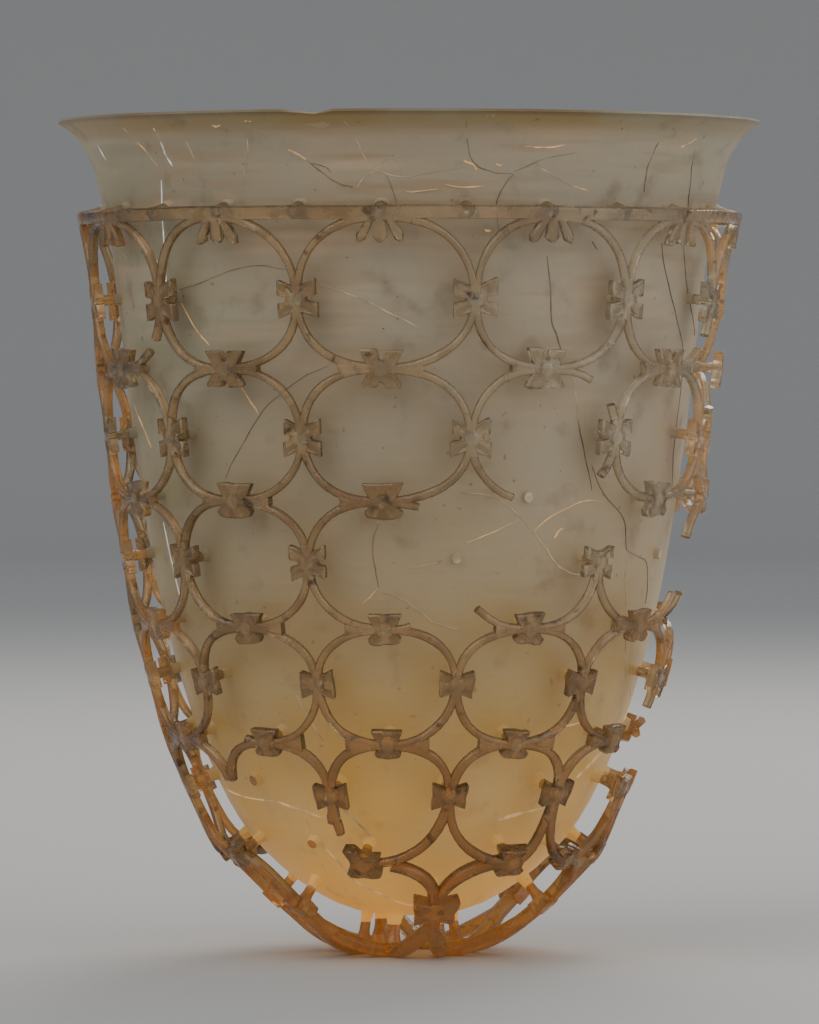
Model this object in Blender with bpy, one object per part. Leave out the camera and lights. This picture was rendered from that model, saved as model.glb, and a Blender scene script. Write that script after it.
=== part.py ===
"""A cage cup: a deep glass beaker inside an openwork cage of rings cut from the same glass.

The beaker is a turned shell. The cage is drawn as one flat pattern on an unrolled copy of its
surface, where bars, knots, collar band and foot rosette are united, and is then wrapped round
the beaker and given its thickness. Short struts tie the knots to the wall. All of it is one solid.

Angles are in degrees round the axis, 0 at the front (-Y) and growing towards +X. A place on the
cage is an angle and a path length, measured along the cage's outline from the middle of the foot.
"""

import math

import bmesh
import bpy
import numpy as np
from mathutils import Vector
from mathutils.geometry import delaunay_2d_cdt

# Beaker
HEIGHT = 0.180
RIM_RADIUS = 0.076
WALL = 0.0020
LIP_WALL = 0.0013
FOOT_RISE = 0.0082
BEAKER_SIDES = 24

# Cage
CAGE_THICK = 0.0021
FOOT_THICK = 0.0026
BAND_STAND_OFF = 0.0060
SIDE_STAND_OFF = 0.0077
FOOT_FLAT = 0.0016
FULL_STAND_OFF_SHARE = 0.14
BAND_TOP = HEIGHT - 0.0200
BAND_DEPTH = 0.0027
BAND_SIDES = 24
BAR_WIDTH = 0.0020
BAR_END_SHARE = 0.08
FOOT_BAR_WIDTH = 0.0027
COLUMNS = 12
FRONT_RING_ANGLE = -5.0
END_OVERLAP = 0.0003

# Struts
STRUT_WIDTH = 0.0020
STRUT_LEDGE = 0.0002
BROKEN_STRUT = 0.6
STRUT_BITE = 0.6

# Foot rosette
PETALS = 6
TIP_RADIUS = 0.0107
PARTING_RADIUS = 0.0225
PETAL_SHARES = (0.07, 0.30, 0.62, 1.0)

# Knots: half width and half height, the rings' top and bottom knots first, then the side knots
TIE_KNOTS = (
    (0.0047, 0.0052), (0.0047, 0.0040), (0.0043, 0.0037), (0.0038, 0.0033), (0.0032, 0.0031),
    (0.0030, 0.0024),
)
SIDE_KNOTS = (
    (0.0043, 0.0045), (0.0042, 0.0042), (0.0037, 0.0037), (0.0038, 0.0029), (0.0036, 0.0030),
    (0.0030, 0.0026),
)
KNOT_WAIST = 0.42
KNOT_NOTCH = 0.30

# The half knots under the band: the inner, foot and top corners as shares of their half width
HANGING_INNER = 0.25
HANGING_FOOT = 0.60
HANGING_RISE = 0.55

# The beaker's outer outline, as shares of the rim's radius and of the height above the foot
BEAKER_OUTLINE = (
    (0.000, 0.0000), (0.095, 0.0030), (0.180, 0.0110), (0.275, 0.0320), (0.360, 0.0600), (0.433, 0.0920),
    (0.490, 0.1260), (0.543, 0.1700), (0.590, 0.2180), (0.631, 0.2700), (0.674, 0.3350), (0.717, 0.4150),
    (0.760, 0.5250), (0.797, 0.6450), (0.824, 0.7500), (0.851, 0.8450), (0.877, 0.9000), (0.903, 0.9450),
    (0.941, 0.9760), (1.000, 1.0000),
)
OUTLINE_STEPS = 12

# Where the turned beaker has its rings of corners, as shares of the outline's length
BEAKER_RINGS = (0.0, 0.11, 0.20, 0.28, 0.38, 0.54, 0.72, 0.87, 0.95, 1.0)

# Heights of the knots, as shares of the band's top: ring tops and bottoms, then ring sides
TIE_SHARES = (0.9860, 0.7900, 0.6175, 0.4500, 0.2970, 0.1340)
SIDE_SHARES = (0.8830, 0.7030, 0.5380, 0.3770, 0.2270, 0.0640)

# Knots set off the even spacing by hand, in degrees, by kind, row and column
SHIFTS = {
    ("side", 0, 0): 1.5, ("side", 0, 1): 1.6, ("side", 1, 0): 1.2, ("side", 1, 1): 1.2,
    ("tie", 5, 0): -9.0, ("tie", 5, 1): 7.0,
}

# Knots that are lost, by kind, row and column, with only a strut's stump left behind them
LOST_KNOTS = {
    ("tie", 2, 1), ("tie", 3, 3), ("tie", 4, 3), ("tie", 5, -1), ("side", 2, 0), ("side", 2, 2),
    ("side", 2, 3), ("side", 4, -2), ("tie", 3, 6), ("side", 3, -5),
}

# Broken quarters of rings, by row, column and quarter: the share left at the tie knot and at the
# side knot. A quarter that isn't named is whole.
BREAKS = {
    (0, -2, "lower right"): (0.48, 0.36), (0, 2, "lower right"): (0.50, 0.31),
    (0, 3, "lower left"): (0.0, 0.0), (0, 3, "lower right"): (0.0, 0.0),
    (1, 3, "upper left"): (0.0, 0.0), (1, 3, "upper right"): (0.0, 0.25),
    (1, 1, "upper right"): (0.38, 0.29), (1, 1, "lower left"): (0.0, 0.77),
    (1, 1, "lower right"): (0.0, 0.39), (2, 0, "upper right"): (0.27, 0.0),
    (2, 0, "lower right"): (0.20, 0.0), (2, 1, "upper left"): (0.0, 0.0),
    (2, 1, "upper right"): (0.0, 0.0), (2, 1, "lower left"): (0.54, 0.0),
    (2, 2, "upper left"): (0.0, 0.0), (2, 2, "upper right"): (0.0, 0.0),
    (2, 2, "lower right"): (0.67, 0.0), (2, 3, "upper left"): (0.80, 0.0),
    (2, 3, "upper right"): (0.35, 0.0), (2, 3, "lower left"): (0.0, 0.0),
    (2, 3, "lower right"): (0.0, 0.0), (2, 4, "upper left"): (0.45, 0.0),
    (2, 4, "lower left"): (0.60, 0.0), (3, 4, "lower left"): (0.35, 0.25),
    (3, -1, "lower left"): (0.22, 0.0), (3, 2, "lower right"): (0.0, 0.30),
    (3, 3, "upper left"): (0.0, 0.42), (3, 3, "upper right"): (0.0, 0.0),
    (3, 3, "lower left"): (0.0, 0.0), (3, 3, "lower right"): (0.0, 0.0),
    (4, -2, "upper right"): (0.86, 0.0), (4, -2, "lower right"): (0.0, 0.0),
    (4, -1, "upper left"): (0.86, 0.0), (4, -1, "lower left"): (0.0, 0.0),
    (4, -1, "lower right"): (0.0, 0.22), (4, 0, "lower left"): (0.0, 0.34),
    (4, 0, "lower right"): (0.0, 0.92), (4, 2, "upper right"): (0.0, 0.0),
    (4, 3, "upper left"): (0.0, 0.0), (4, 3, "upper right"): (0.0, 0.0),
    (4, 4, "upper left"): (0.30, 0.0),
    (5, -1, "upper left"): (0.0, 0.0), (5, 0, "upper right"): (0.0, 0.80),
    (2, 6, "lower left"): (0.0, 0.45), (2, 6, "lower right"): (0.0, 0.60),
    (3, 6, "upper left"): (0.0, 0.35), (3, 6, "upper right"): (0.0, 0.5),
    (3, -5, "lower right"): (0.7, 0.0), (3, -4, "upper left"): (0.6, 0.0),
    (3, -4, "lower left"): (0.4, 0.0), (3, -5, "upper right"): (0.8, 0.0),
}

RING_ROWS = 5
FRONT_REACH = 95.0
FACING_REACH = 45.0
FACING_STEPS = 3
PLAIN_STEPS = 2
CARVED_ROWS = 2
SHORTEST_EDGE = 0.0006
FLATTEST_CORNER = 0.00015


def smooth_line(points, steps):
    """Run a smooth curve through hand-set points, with the given steps between each two."""
    pts = np.array(points)
    padded = np.vstack((2 * pts[0] - pts[1], pts, 2 * pts[-1] - pts[-2]))
    rows = []
    for i in range(len(pts) - 1):
        a, b, c, d = padded[i:i + 4]
        for t in np.linspace(0.0, 1.0, steps, endpoint=False):
            rows.append(0.5 * (2 * b + (c - a) * t + (2 * a - 5 * b + 4 * c - d) * t ** 2
                               + (3 * b - a - 3 * c + d) * t ** 3))
    rows.append(pts[-1])
    return np.array(rows)


def outward_normals(line):
    """Unit normals of an outline that runs up from the axis, pointing away from the hollow."""
    run = np.gradient(line, axis=0)
    run /= np.linalg.norm(run, axis=1)[:, None]
    return np.column_stack((run[:, 1], -run[:, 0]))


class Outline:
    """The beaker's outer outline and the cage's outer and inner outlines that follow it."""

    def __init__(self):
        shares = smooth_line(BEAKER_OUTLINE, OUTLINE_STEPS)
        self.wall = shares * (RIM_RADIUS, HEIGHT - FOOT_RISE) + (0.0, FOOT_RISE)
        self.normal = outward_normals(self.wall)
        self.normal[0] = (0.0, -1.0)
        rise = self.wall[:, 1] - FOOT_RISE
        foot_stand_off = FOOT_RISE + FOOT_FLAT
        rises = (0.0, FULL_STAND_OFF_SHARE * HEIGHT, BAND_TOP - FOOT_RISE)
        stand_off = np.interp(rise, rises, (foot_stand_off, SIDE_STAND_OFF, BAND_STAND_OFF))
        self.outer = self.wall + self.normal * stand_off[:, None]
        self.inner = self.wall + self.normal * (stand_off - CAGE_THICK)[:, None]
        self.root = self.wall - self.normal * WALL * STRUT_BITE
        self.outer[:, 1] = np.maximum(self.outer[:, 1], 0.0)
        self.inner[:, 1] = np.maximum(self.inner[:, 1], FOOT_THICK)
        steps = np.linalg.norm(np.diff(self.outer, axis=0), axis=1)
        self.path = np.concatenate(((0.0,), np.cumsum(steps)))
        radius = np.maximum(self.outer[:, 0], BAR_WIDTH)
        mean = 0.5 * (radius[1:] + radius[:-1])
        self.spread = np.concatenate(((0.0,), np.cumsum(steps / mean)))

    def at(self, line, path):
        """Radius and height of a line at a path length."""
        return np.array([np.interp(path, self.path, line[:, 0]), np.interp(path, self.path, line[:, 1])])

    def path_at_height(self, height):
        """Path length where the cage's outer surface reaches a height."""
        return float(np.interp(height, self.outer[:, 1], self.path))

    def path_at_radius(self, radius):
        """Path length where the cage's outer surface reaches a radius, near the foot."""
        return float(np.interp(radius, self.outer[:, 0], self.path))

    def flatten(self, angle, path):
        """Place of a cage point on the flat pattern, which keeps the shape of small figures."""
        reach = math.exp(np.interp(path, self.path, self.spread))
        return (reach * math.sin(math.radians(angle)), -reach * math.cos(math.radians(angle)))

    def unflatten(self, point):
        """Angle in radians and path length of a point of the flat pattern."""
        spread = math.log(math.hypot(point[0], point[1]))
        return math.atan2(point[0], -point[1]), float(np.interp(spread, self.spread, self.path))

    def wrap(self, line, angle, path):
        """Point in space at an angle in radians and a path length, on a line turned round Z."""
        radius, height = self.at(line, path)
        return (radius * math.sin(angle), -radius * math.cos(angle), height)


OUTLINE = Outline()


def knot_place(kind, row, column):
    """Angle and path length of a knot's middle."""
    spacing = 360.0 / COLUMNS
    angle = FRONT_RING_ANGLE + spacing * column + SHIFTS.get((kind, row, column), 0.0)
    if kind == "tie":
        return angle, OUTLINE.path_at_height(TIE_SHARES[row] * BAND_TOP)
    return angle + spacing / 2, OUTLINE.path_at_height(SIDE_SHARES[row] * BAND_TOP)


def is_within(angle, reach):
    """Whether an angle lies within a reach to either side of the front."""
    return abs((angle + 180.0) % 360.0 - 180.0) < reach


def is_front(angle):
    """Whether an angle lies on the side that is seen from the front."""
    return is_within(angle, FRONT_REACH)


def home_column(column):
    """A column's number in the range that the tables of breaks and lost knots use."""
    return (column + 5) % COLUMNS - 5


def bar_outline(places, runs, width):
    """Outline on the flat pattern of a bar of even width along places on the cage.

    The runs say which way the bar runs at each place, as changes of angle and of path length.
    Both ends are drawn a little long, so that bars that meet end to end overlap.
    """
    places = np.array(places)
    radii = np.array([OUTLINE.at(OUTLINE.outer, path)[0] for path in places[:, 1]])
    steps = np.column_stack((np.radians(np.array(runs)[:, 0]) * radii, np.array(runs)[:, 1]))
    steps /= np.linalg.norm(steps, axis=1)[:, None]
    offsets = np.column_stack((steps[:, 1], -steps[:, 0])) * width / 2
    overlap = np.zeros_like(steps)
    overlap[0], overlap[-1] = -steps[0] * END_OVERLAP, steps[-1] * END_OVERLAP
    ring = []
    for side in (offsets + overlap, (overlap - offsets)[::-1]):
        turned = places if not ring else places[::-1]
        scale = radii if not ring else radii[::-1]
        ring += [OUTLINE.flatten(angle + math.degrees(x / r), path + y)
                 for (angle, path), (x, y), r in zip(turned, side, scale)]
    return ring


def quarter_bar(tie, side, first, last, steps, width):
    """Outline of a quarter of a ring between two shares of its way from tie to side knot."""
    low, high = first + BAR_END_SHARE, last - BAR_END_SHARE
    inner = [i / steps for i in range(1, steps) if low < i / steps < high]
    across, along = side[0] - tie[0], side[1] - tie[1]
    places, runs = [], []
    for share in [first, *inner, last]:
        turn = math.radians(90.0 * share)
        places.append((tie[0] + across * math.sin(turn), side[1] - along * math.cos(turn)))
        runs.append((across * math.cos(turn), along * math.sin(turn)))
    return bar_outline(places, runs, width)


def ring_bars():
    """Outlines of the rings' quarters, with those that are broken cut short or left out."""
    bars = []
    for row in range(RING_ROWS + 1):
        for number in range(COLUMNS):
            column = home_column(number)
            for quarter, tie_row, side_column in (
                    ("upper left", row, column - 1), ("upper right", row, column),
                    ("lower left", row + 1, column - 1), ("lower right", row + 1, column)):
                if row == RING_ROWS and (tie_row > row or side_column % 2):
                    continue
                tie = knot_place("tie", tie_row, column)
                side = knot_place("side", row, home_column(side_column))
                side = (side[0] + 360.0 * round((tie[0] - side[0]) / 360.0), side[1])
                steps = FACING_STEPS if is_within(tie[0], FACING_REACH) else PLAIN_STEPS
                from_tie, from_side = BREAKS.get((row, column, quarter), (1.0, 0.0))
                width = BAR_WIDTH if row < RING_ROWS else FOOT_BAR_WIDTH
                if from_tie > 0.0:
                    bars.append(quarter_bar(tie, side, 0.0, from_tie, steps, width))
                if from_side > 0.0:
                    bars.append(quarter_bar(tie, side, 1.0 - from_side, 1.0, steps, width))
    return bars


def petal_bars():
    """Outlines of the two sides of each petal of the foot rosette, from the tip to the knots."""
    bars = []
    half = 180.0 / PETALS
    middle = knot_place("side", RING_ROWS, 0)[0] - half
    knot_radius = OUTLINE.at(OUTLINE.outer, knot_place("side", RING_ROWS, 0)[1])[0]
    span = PARTING_RADIUS - TIP_RADIUS
    radii = [TIP_RADIUS + share * span for share in PETAL_SHARES] + [knot_radius]
    for petal in range(PETALS):
        axis = middle + 2 * half * petal
        for side in (-1, 1):
            places = [(axis, OUTLINE.path_at_radius(TIP_RADIUS))]
            for radius in radii:
                share = min(1.0, (radius - TIP_RADIUS) / span)
                angle = half * math.sin(math.pi / 2 * math.sqrt(share))
                places.append((axis + side * angle, OUTLINE.path_at_radius(radius)))
            runs = np.gradient(np.array(places), axis=0)
            runs[0] = (side, 0.0)
            bars.append(bar_outline(places, runs, FOOT_BAR_WIDTH))
    return bars


def knot_outline(place, half_width, half_height, upright, detail):
    """Outline of a knot: four flat-ended leaves, four pointed leaves or a plain lozenge."""
    waist = half_width * KNOT_WAIST
    dip = half_height * KNOT_WAIST
    if detail == "lozenge":
        quarter = [(half_width, 0.0), (0.0, half_height)]
    elif detail == "pointed":
        quarter = [(waist, 0.0), (half_width, half_height), (0.0, dip)]
    elif upright:
        notch = (half_width, half_height * KNOT_NOTCH)
        quarter = [(waist, 0.0), notch, (half_width, half_height), (0.0, dip)]
    else:
        notch = (half_width * KNOT_NOTCH, half_height)
        quarter = [(waist, 0.0), (half_width, half_height), notch, (0.0, dip)]
    half = quarter + [(-x, y) for x, y in quarter[-2::-1]]
    ring = half + [(x, -y) for x, y in half[-2:0:-1]]
    radius = OUTLINE.at(OUTLINE.outer, place[1])[0]
    return [OUTLINE.flatten(place[0] + math.degrees(x / radius), place[1] + y) for x, y in ring]


def hanging_knot_outline(place, half_width, drop, detail):
    """Outline of a half knot of three leaves under the collar band."""
    top = OUTLINE.path_at_height(BAND_TOP - BAND_DEPTH / 2)
    foot = OUTLINE.path_at_height(BAND_TOP - BAND_DEPTH) - drop
    narrow = half_width * HANGING_FOOT
    if detail == "lozenge":
        half = [(narrow, foot), (narrow, top)]
    else:
        inner = (half_width * HANGING_INNER, foot + drop * HANGING_RISE)
        half = [inner, (narrow, foot), (half_width, foot), (narrow, top)]
    ring = half + [(-x, path) for x, path in half[::-1]]
    if detail != "lozenge":
        ring.append((0.0, foot))
    radius = OUTLINE.at(OUTLINE.outer, top)[0]
    return [OUTLINE.flatten(place[0] + math.degrees(x / radius), path) for x, path in ring]


def knot_sites():
    """Every knot's kind, row, column and place."""
    for kind, rows in (("tie", len(TIE_SHARES)), ("side", len(SIDE_SHARES))):
        for row in range(rows):
            for number in range(COLUMNS):
                column = home_column(number)
                if kind == "side" and row == RING_ROWS and column % 2:
                    continue
                yield kind, row, column, knot_place(kind, row, column)


def knots():
    """Outlines of all knots that are left."""
    outlines = []
    for kind, row, column, place in knot_sites():
        if (kind, row, column) in LOST_KNOTS:
            continue
        if not is_front(place[0]):
            if kind == "side" and row < RING_ROWS:
                continue
            detail = "lozenge"
        else:
            detail = "flat-ended" if row < CARVED_ROWS else "pointed"
        if kind == "tie" and row == 0:
            outlines.append(hanging_knot_outline(place, *TIE_KNOTS[0], detail))
        elif kind == "tie":
            outlines.append(knot_outline(place, *TIE_KNOTS[row], False, detail))
        else:
            outlines.append(knot_outline(place, *SIDE_KNOTS[row], True, detail))
    return outlines


def band():
    """Outlines of the pieces of the collar band."""
    low = OUTLINE.path_at_height(BAND_TOP - BAND_DEPTH)
    high = OUTLINE.path_at_height(BAND_TOP)
    step = 360.0 / BAND_SIDES
    pieces = []
    for i in range(BAND_SIDES):
        after = (i + 1) % BAND_SIDES
        corners = ((i, low), (after, low), (after, high), (i, high))
        pieces.append([OUTLINE.flatten(FRONT_RING_ANGLE + step * n, path) for n, path in corners])
    return pieces


def counter_clockwise(ring):
    """The same ring of flat points, turned to run counter-clockwise."""
    pts = np.array(ring)
    nxt = np.roll(pts, -1, axis=0)
    area = np.sum(pts[:, 0] * nxt[:, 1] - nxt[:, 0] * pts[:, 1])
    return ring if area > 0 else ring[::-1]


def united_rings(polygons):
    """Boundary rings of the union of flat polygons."""
    verts, faces = [], []
    for ring in polygons:
        ring = counter_clockwise(ring)
        faces.append(list(range(len(verts), len(verts) + len(ring))))
        verts.extend(Vector(p) for p in ring)
    out = delaunay_2d_cdt(verts, [], faces, 0, 1e-5)
    coords, triangles, sources = out[0], out[2], out[5]
    edges = set()
    for triangle, source in zip(triangles, sources):
        if source:
            edges.update(zip(triangle, triangle[1:] + triangle[:1]))
    border = {}
    for a, b in edges:
        if (b, a) not in edges:
            border.setdefault(a, []).append(b)
    rings = []
    while border:
        start = next(iter(border))
        ring = [start]
        while True:
            exits = border[ring[-1]]
            following = exits.pop()
            if not exits:
                del border[ring[-1]]
            if following == start:
                break
            ring.append(following)
        rings.append([tuple(coords[i]) for i in ring])
    return rings


def tidy_ring(ring):
    """A boundary ring without its shortest edges and its flattest corners."""
    places = [OUTLINE.unflatten(p) for p in ring]
    solid = [np.array(OUTLINE.wrap(OUTLINE.outer, *p)) for p in places]
    keep = list(range(len(ring)))
    changed = True
    while changed and len(keep) > 4:
        changed = False
        for n in range(len(keep)):
            before, here, after = (solid[keep[(n + k) % len(keep)]] for k in (-1, 0, 1))
            chord = after - before
            height = np.linalg.norm(np.cross(chord, here - before)) / max(np.linalg.norm(chord), 1e-9)
            if height < FLATTEST_CORNER or np.linalg.norm(here - before) < SHORTEST_EDGE:
                del keep[n]
                changed = True
                break
    return [ring[i] for i in keep]


def fill_rings(rings):
    """Triangles of the area that flat rings bound, by the order of the rings' points."""
    verts, edges = [], []
    for ring in rings:
        first = len(verts)
        count = len(ring)
        verts.extend(Vector(p) for p in ring)
        edges.extend((first + i, first + (i + 1) % count) for i in range(count))
    out = delaunay_2d_cdt(verts, edges, [], 0, 1e-6)
    coords = np.array([tuple(v) for v in out[0]])
    triangles = np.array(out[2])
    centres = coords[triangles].mean(axis=1)
    crossings = np.zeros(len(centres), dtype=int)
    for i, j in edges:
        (ax, ay), (bx, by) = coords[i], coords[j]
        spans = (ay > centres[:, 1]) != (by > centres[:, 1])
        if ay != by:
            cut = ax + (centres[:, 1] - ay) * (bx - ax) / (by - ay)
            crossings += spans & (centres[:, 0] < cut)
    return [tuple(int(i) for i in t) for t in triangles[crossings % 2 == 1]]


def new_object(name, verts, faces, material):
    """A mesh object in the scene, with its faces turned outwards."""
    mesh = bpy.data.meshes.new(name)
    mesh.from_pydata(verts, [], faces)
    work = bmesh.new()
    work.from_mesh(mesh)
    bmesh.ops.recalc_face_normals(work, faces=work.faces)
    work.to_mesh(mesh)
    work.free()
    mesh.materials.append(material)
    thing = bpy.data.objects.new(name, mesh)
    bpy.context.scene.collection.objects.link(thing)
    return thing


def strut_ring(angle, path, width, sides):
    """Places on the cage of a strut's corners, for a square or a three-sided strut."""
    radius = OUTLINE.at(OUTLINE.outer, path)[0]
    reach = width / 2 / math.cos(math.pi / 4)
    corners = []
    for i in range(sides):
        phase = 2.0 * math.pi * (i + 0.5) / sides
        corners.append((angle + math.degrees(reach * math.cos(phase) / radius),
                        path + reach * math.sin(phase)))
    return corners


def strut_sides(angle):
    """Number of a strut's sides, fewer where the cage is hidden."""
    return 4 if is_front(angle) else 3


def strut_sites():
    """Angle, path length and number of sides of every strut that holds the cage."""
    for kind, row, column, (angle, path) in knot_sites():
        if (kind, row) == ("tie", 0) or (kind, row, column) in LOST_KNOTS:
            continue
        if kind == "side" and not is_front(angle) and row < RING_ROWS:
            continue
        yield angle, path, strut_sides(angle)
    under_band = OUTLINE.path_at_height(BAND_TOP - BAND_DEPTH / 2)
    for i in range(2 * COLUMNS):
        angle = FRONT_RING_ANGLE + 180.0 / COLUMNS * i
        if is_front(angle) or i % 2 == 0:
            yield angle, under_band, strut_sides(angle)
    tip = OUTLINE.path_at_radius(TIP_RADIUS + 2 * STRUT_LEDGE)
    first = knot_place("side", RING_ROWS, 0)[0] - 180.0 / PETALS
    for petal in range(PETALS):
        yield first + 360.0 / PETALS * petal, tip, 4


def make_cage(material):
    """The cage with its collar band, foot rosette and struts, as one closed shell."""
    strut_rings, pads = [], []
    for angle, path, sides in strut_sites():
        strut_rings.append([OUTLINE.flatten(*p) for p in strut_ring(angle, path, STRUT_WIDTH, sides)])
        width = STRUT_WIDTH + 2 * STRUT_LEDGE
        pads.append([OUTLINE.flatten(*p) for p in strut_ring(angle, path, width, sides)])
    polygons = ring_bars() + petal_bars() + knots() + band() + pads
    rings = [tidy_ring(ring) for ring in united_rings(polygons)]
    rings = [ring for ring in rings if len(ring) > 2]
    places = [OUTLINE.unflatten(p) for ring in rings for p in ring]
    roots = [OUTLINE.unflatten(p) for ring in strut_rings for p in ring]
    verts = [OUTLINE.wrap(OUTLINE.outer, *p) for p in places]
    verts += [OUTLINE.wrap(OUTLINE.inner, *p) for p in places + roots]
    verts += [OUTLINE.wrap(OUTLINE.root, *p) for p in roots]
    count = len(places)
    front = fill_rings(rings)
    back = [tuple(i + count for i in t[::-1]) for t in fill_rings(rings + strut_rings)]
    edges = set()
    for t in front:
        edges.update(zip(t, t[1:] + t[:1]))
    walls = [(b, a, a + count, b + count) for a, b in edges if (b, a) not in edges]
    first = 2 * count
    for ring in strut_rings:
        near = list(range(first, first + len(ring)))
        far = [i + len(roots) for i in near]
        walls += [(near[i - 1], near[i], far[i], far[i - 1]) for i in range(len(ring))]
        walls.append(tuple(far))
        first += len(ring)
    return new_object("cage", verts, front + back + walls, material)


def make_stumps(material):
    """The stumps of struts whose knots are lost, as one mesh of separate prisms."""
    verts, faces = [], []
    for kind, row, column in sorted(LOST_KNOTS):
        angle, path = knot_place(kind, row, column)
        corners = [(math.radians(a), p) for a, p in strut_ring(angle, path, STRUT_WIDTH, 4)]
        root = [np.array(OUTLINE.wrap(OUTLINE.root, *p)) for p in corners]
        end = [np.array(OUTLINE.wrap(OUTLINE.inner, *p)) for p in corners]
        first = len(verts)
        verts += root + [r + (e - r) * BROKEN_STRUT for r, e in zip(root, end)]
        faces += [tuple(range(first, first + 4)), tuple(range(first + 7, first + 3, -1))]
        faces += [(first + i, first + 4 + i, first + 4 + (i + 1) % 4, first + (i + 1) % 4)
                  for i in range(4)]
    return new_object("stumps", verts, faces, material)


def beaker_line():
    """The beaker's closed outline from the foot up its outside, over the lip and down its inside."""
    steps = np.linalg.norm(np.diff(OUTLINE.wall, axis=0), axis=1)
    length = np.concatenate(((0.0,), np.cumsum(steps)))
    at = np.array(BEAKER_RINGS) * length[-1]
    outside = np.column_stack([np.interp(at, length, OUTLINE.wall[:, k]) for k in (0, 1)])
    normal = np.column_stack([np.interp(at, length, OUTLINE.normal[:, k]) for k in (0, 1)])
    inside = outside - normal * WALL
    inside = inside[inside[:, 1] < HEIGHT - WALL]
    inside[0, 0] = 0.0
    lip = np.array(((RIM_RADIUS - LIP_WALL, HEIGHT),))
    return np.vstack((outside, lip, inside[::-1]))


def make_beaker(material):
    """The beaker, turned round Z with flat sides that face the struts."""
    line = beaker_line()
    step = 2.0 * math.pi / BEAKER_SIDES
    start = math.radians(FRONT_RING_ANGLE) + step / 2
    verts = [(0.0, 0.0, line[0, 1])]
    for radius, height in line[1:-1]:
        for i in range(BEAKER_SIDES):
            angle = start + step * i
            verts.append((radius * math.sin(angle), -radius * math.cos(angle), height))
    verts.append((0.0, 0.0, line[-1, 1]))
    rings = len(line) - 2
    faces = []
    for i in range(BEAKER_SIDES):
        j = (i + 1) % BEAKER_SIDES
        faces.append((0, 1 + j, 1 + i))
        for ring in range(rings - 1):
            low, high = 1 + ring * BEAKER_SIDES, 1 + (ring + 1) * BEAKER_SIDES
            faces.append((low + i, low + j, high + j, high + i))
        last = 1 + (rings - 1) * BEAKER_SIDES
        faces.append((last + i, last + j, len(verts) - 1))
    return new_object("cage_cup", verts, faces, material)


def glass():
    """Weathered pale glass with an amber tinge."""
    material = bpy.data.materials.new("weathered_glass")
    material.use_nodes = True
    shader = material.node_tree.nodes["Principled BSDF"]
    shader.inputs["Base Color"].default_value = (0.58, 0.46, 0.30, 1.0)
    shader.inputs["Roughness"].default_value = 0.35
    shader.inputs["Metallic"].default_value = 0.0
    return material


def unite(thing, helper):
    """Unite a helper with a thing, and hide the helper."""
    helper.hide_render = True
    helper.display_type = "WIRE"
    union = thing.modifiers.new("with_" + helper.name, "BOOLEAN")
    union.operation = "UNION"
    union.solver = "EXACT"
    union.object = helper


def main():
    """Clear the scene and build the cup."""
    for thing in list(bpy.data.objects):
        bpy.data.objects.remove(thing, do_unlink=True)
    material = glass()
    cup = make_beaker(material)
    unite(cup, make_stumps(material))
    unite(cup, make_cage(material))


main()
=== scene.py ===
"""A Roman cage cup in weathered glass: a deep beaker inside an openwork cage of carved rings.

Angles run round the axis, 0 at the front (-Y) and growing towards +X. A place on the cage is an
angle and a path length, which is measured along the cage's outline from the middle of the foot,
with a depth that grows from the cage's outer face towards the wall. All sizes are in metres.
"""

import logging
import math
from dataclasses import dataclass, field
from enum import Enum, IntEnum
from functools import cached_property

import bmesh
import bpy
import numpy as np
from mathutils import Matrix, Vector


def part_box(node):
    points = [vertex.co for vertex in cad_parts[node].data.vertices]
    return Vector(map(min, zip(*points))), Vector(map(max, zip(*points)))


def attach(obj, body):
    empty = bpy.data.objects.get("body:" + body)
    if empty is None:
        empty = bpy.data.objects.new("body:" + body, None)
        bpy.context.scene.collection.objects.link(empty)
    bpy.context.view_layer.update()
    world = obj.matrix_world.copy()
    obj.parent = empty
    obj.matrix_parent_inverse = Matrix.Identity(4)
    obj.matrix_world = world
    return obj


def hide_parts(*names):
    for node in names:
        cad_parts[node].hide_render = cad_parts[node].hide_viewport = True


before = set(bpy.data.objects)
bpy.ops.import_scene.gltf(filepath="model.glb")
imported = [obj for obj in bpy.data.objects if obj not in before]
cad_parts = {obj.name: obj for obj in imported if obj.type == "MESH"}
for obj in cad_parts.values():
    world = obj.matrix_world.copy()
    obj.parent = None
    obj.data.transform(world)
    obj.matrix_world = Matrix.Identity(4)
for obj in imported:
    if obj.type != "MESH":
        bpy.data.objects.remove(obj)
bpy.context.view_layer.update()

LOG = logging.getLogger("cage_cup")
NODE = "cage_cup"

Colour = tuple[float, float, float]
Triple = tuple[float, float, float]
Pair = tuple[float, float]

# A full turn in radians, and the millimetres in a metre
FULL_TURN = 2 * math.pi
MILLIMETRES = 1000.0

# Angle between two faces, in degrees, from which the edge between them stays sharp
SHARP_ANGLE = 42.0

# The pattern of rings, the number that its columns start from, and how far from the front the
# cage is seen, in degrees
FRONT_RING_ANGLE = -5.0
COLUMNS = 12
FIRST_COLUMN = -5
RING_ROWS = 5
FRONT_REACH = 97.0


class Finish(IntEnum):
    """The finish of a face, as its material slot: glass, or a tone of line in the wall."""

    BEAKER = 0
    CAGE = 1
    # Glass of the carved hollows, darkened as painted shade
    HOLLOW = 2
    STRUT = 3
    # Lines that are painted glints along cracks, white and orange, then pale, dark and soft lines
    GLINT = 4
    WARM = 5
    PALE = 6
    DARK = 7
    SOFT = 8


class KnotKind(Enum):
    """Where a knot sits: at the top or bottom of a ring, or at its side."""

    TIE = "tie"
    SIDE = "side"


class Quarter(Enum):
    """The quarter of a ring that one bar makes: its step down to the tie row, and to the side column."""

    UPPER_LEFT = (0, -1)
    UPPER_RIGHT = (0, 0)
    LOWER_LEFT = (1, -1)
    LOWER_RIGHT = (1, 0)


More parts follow.
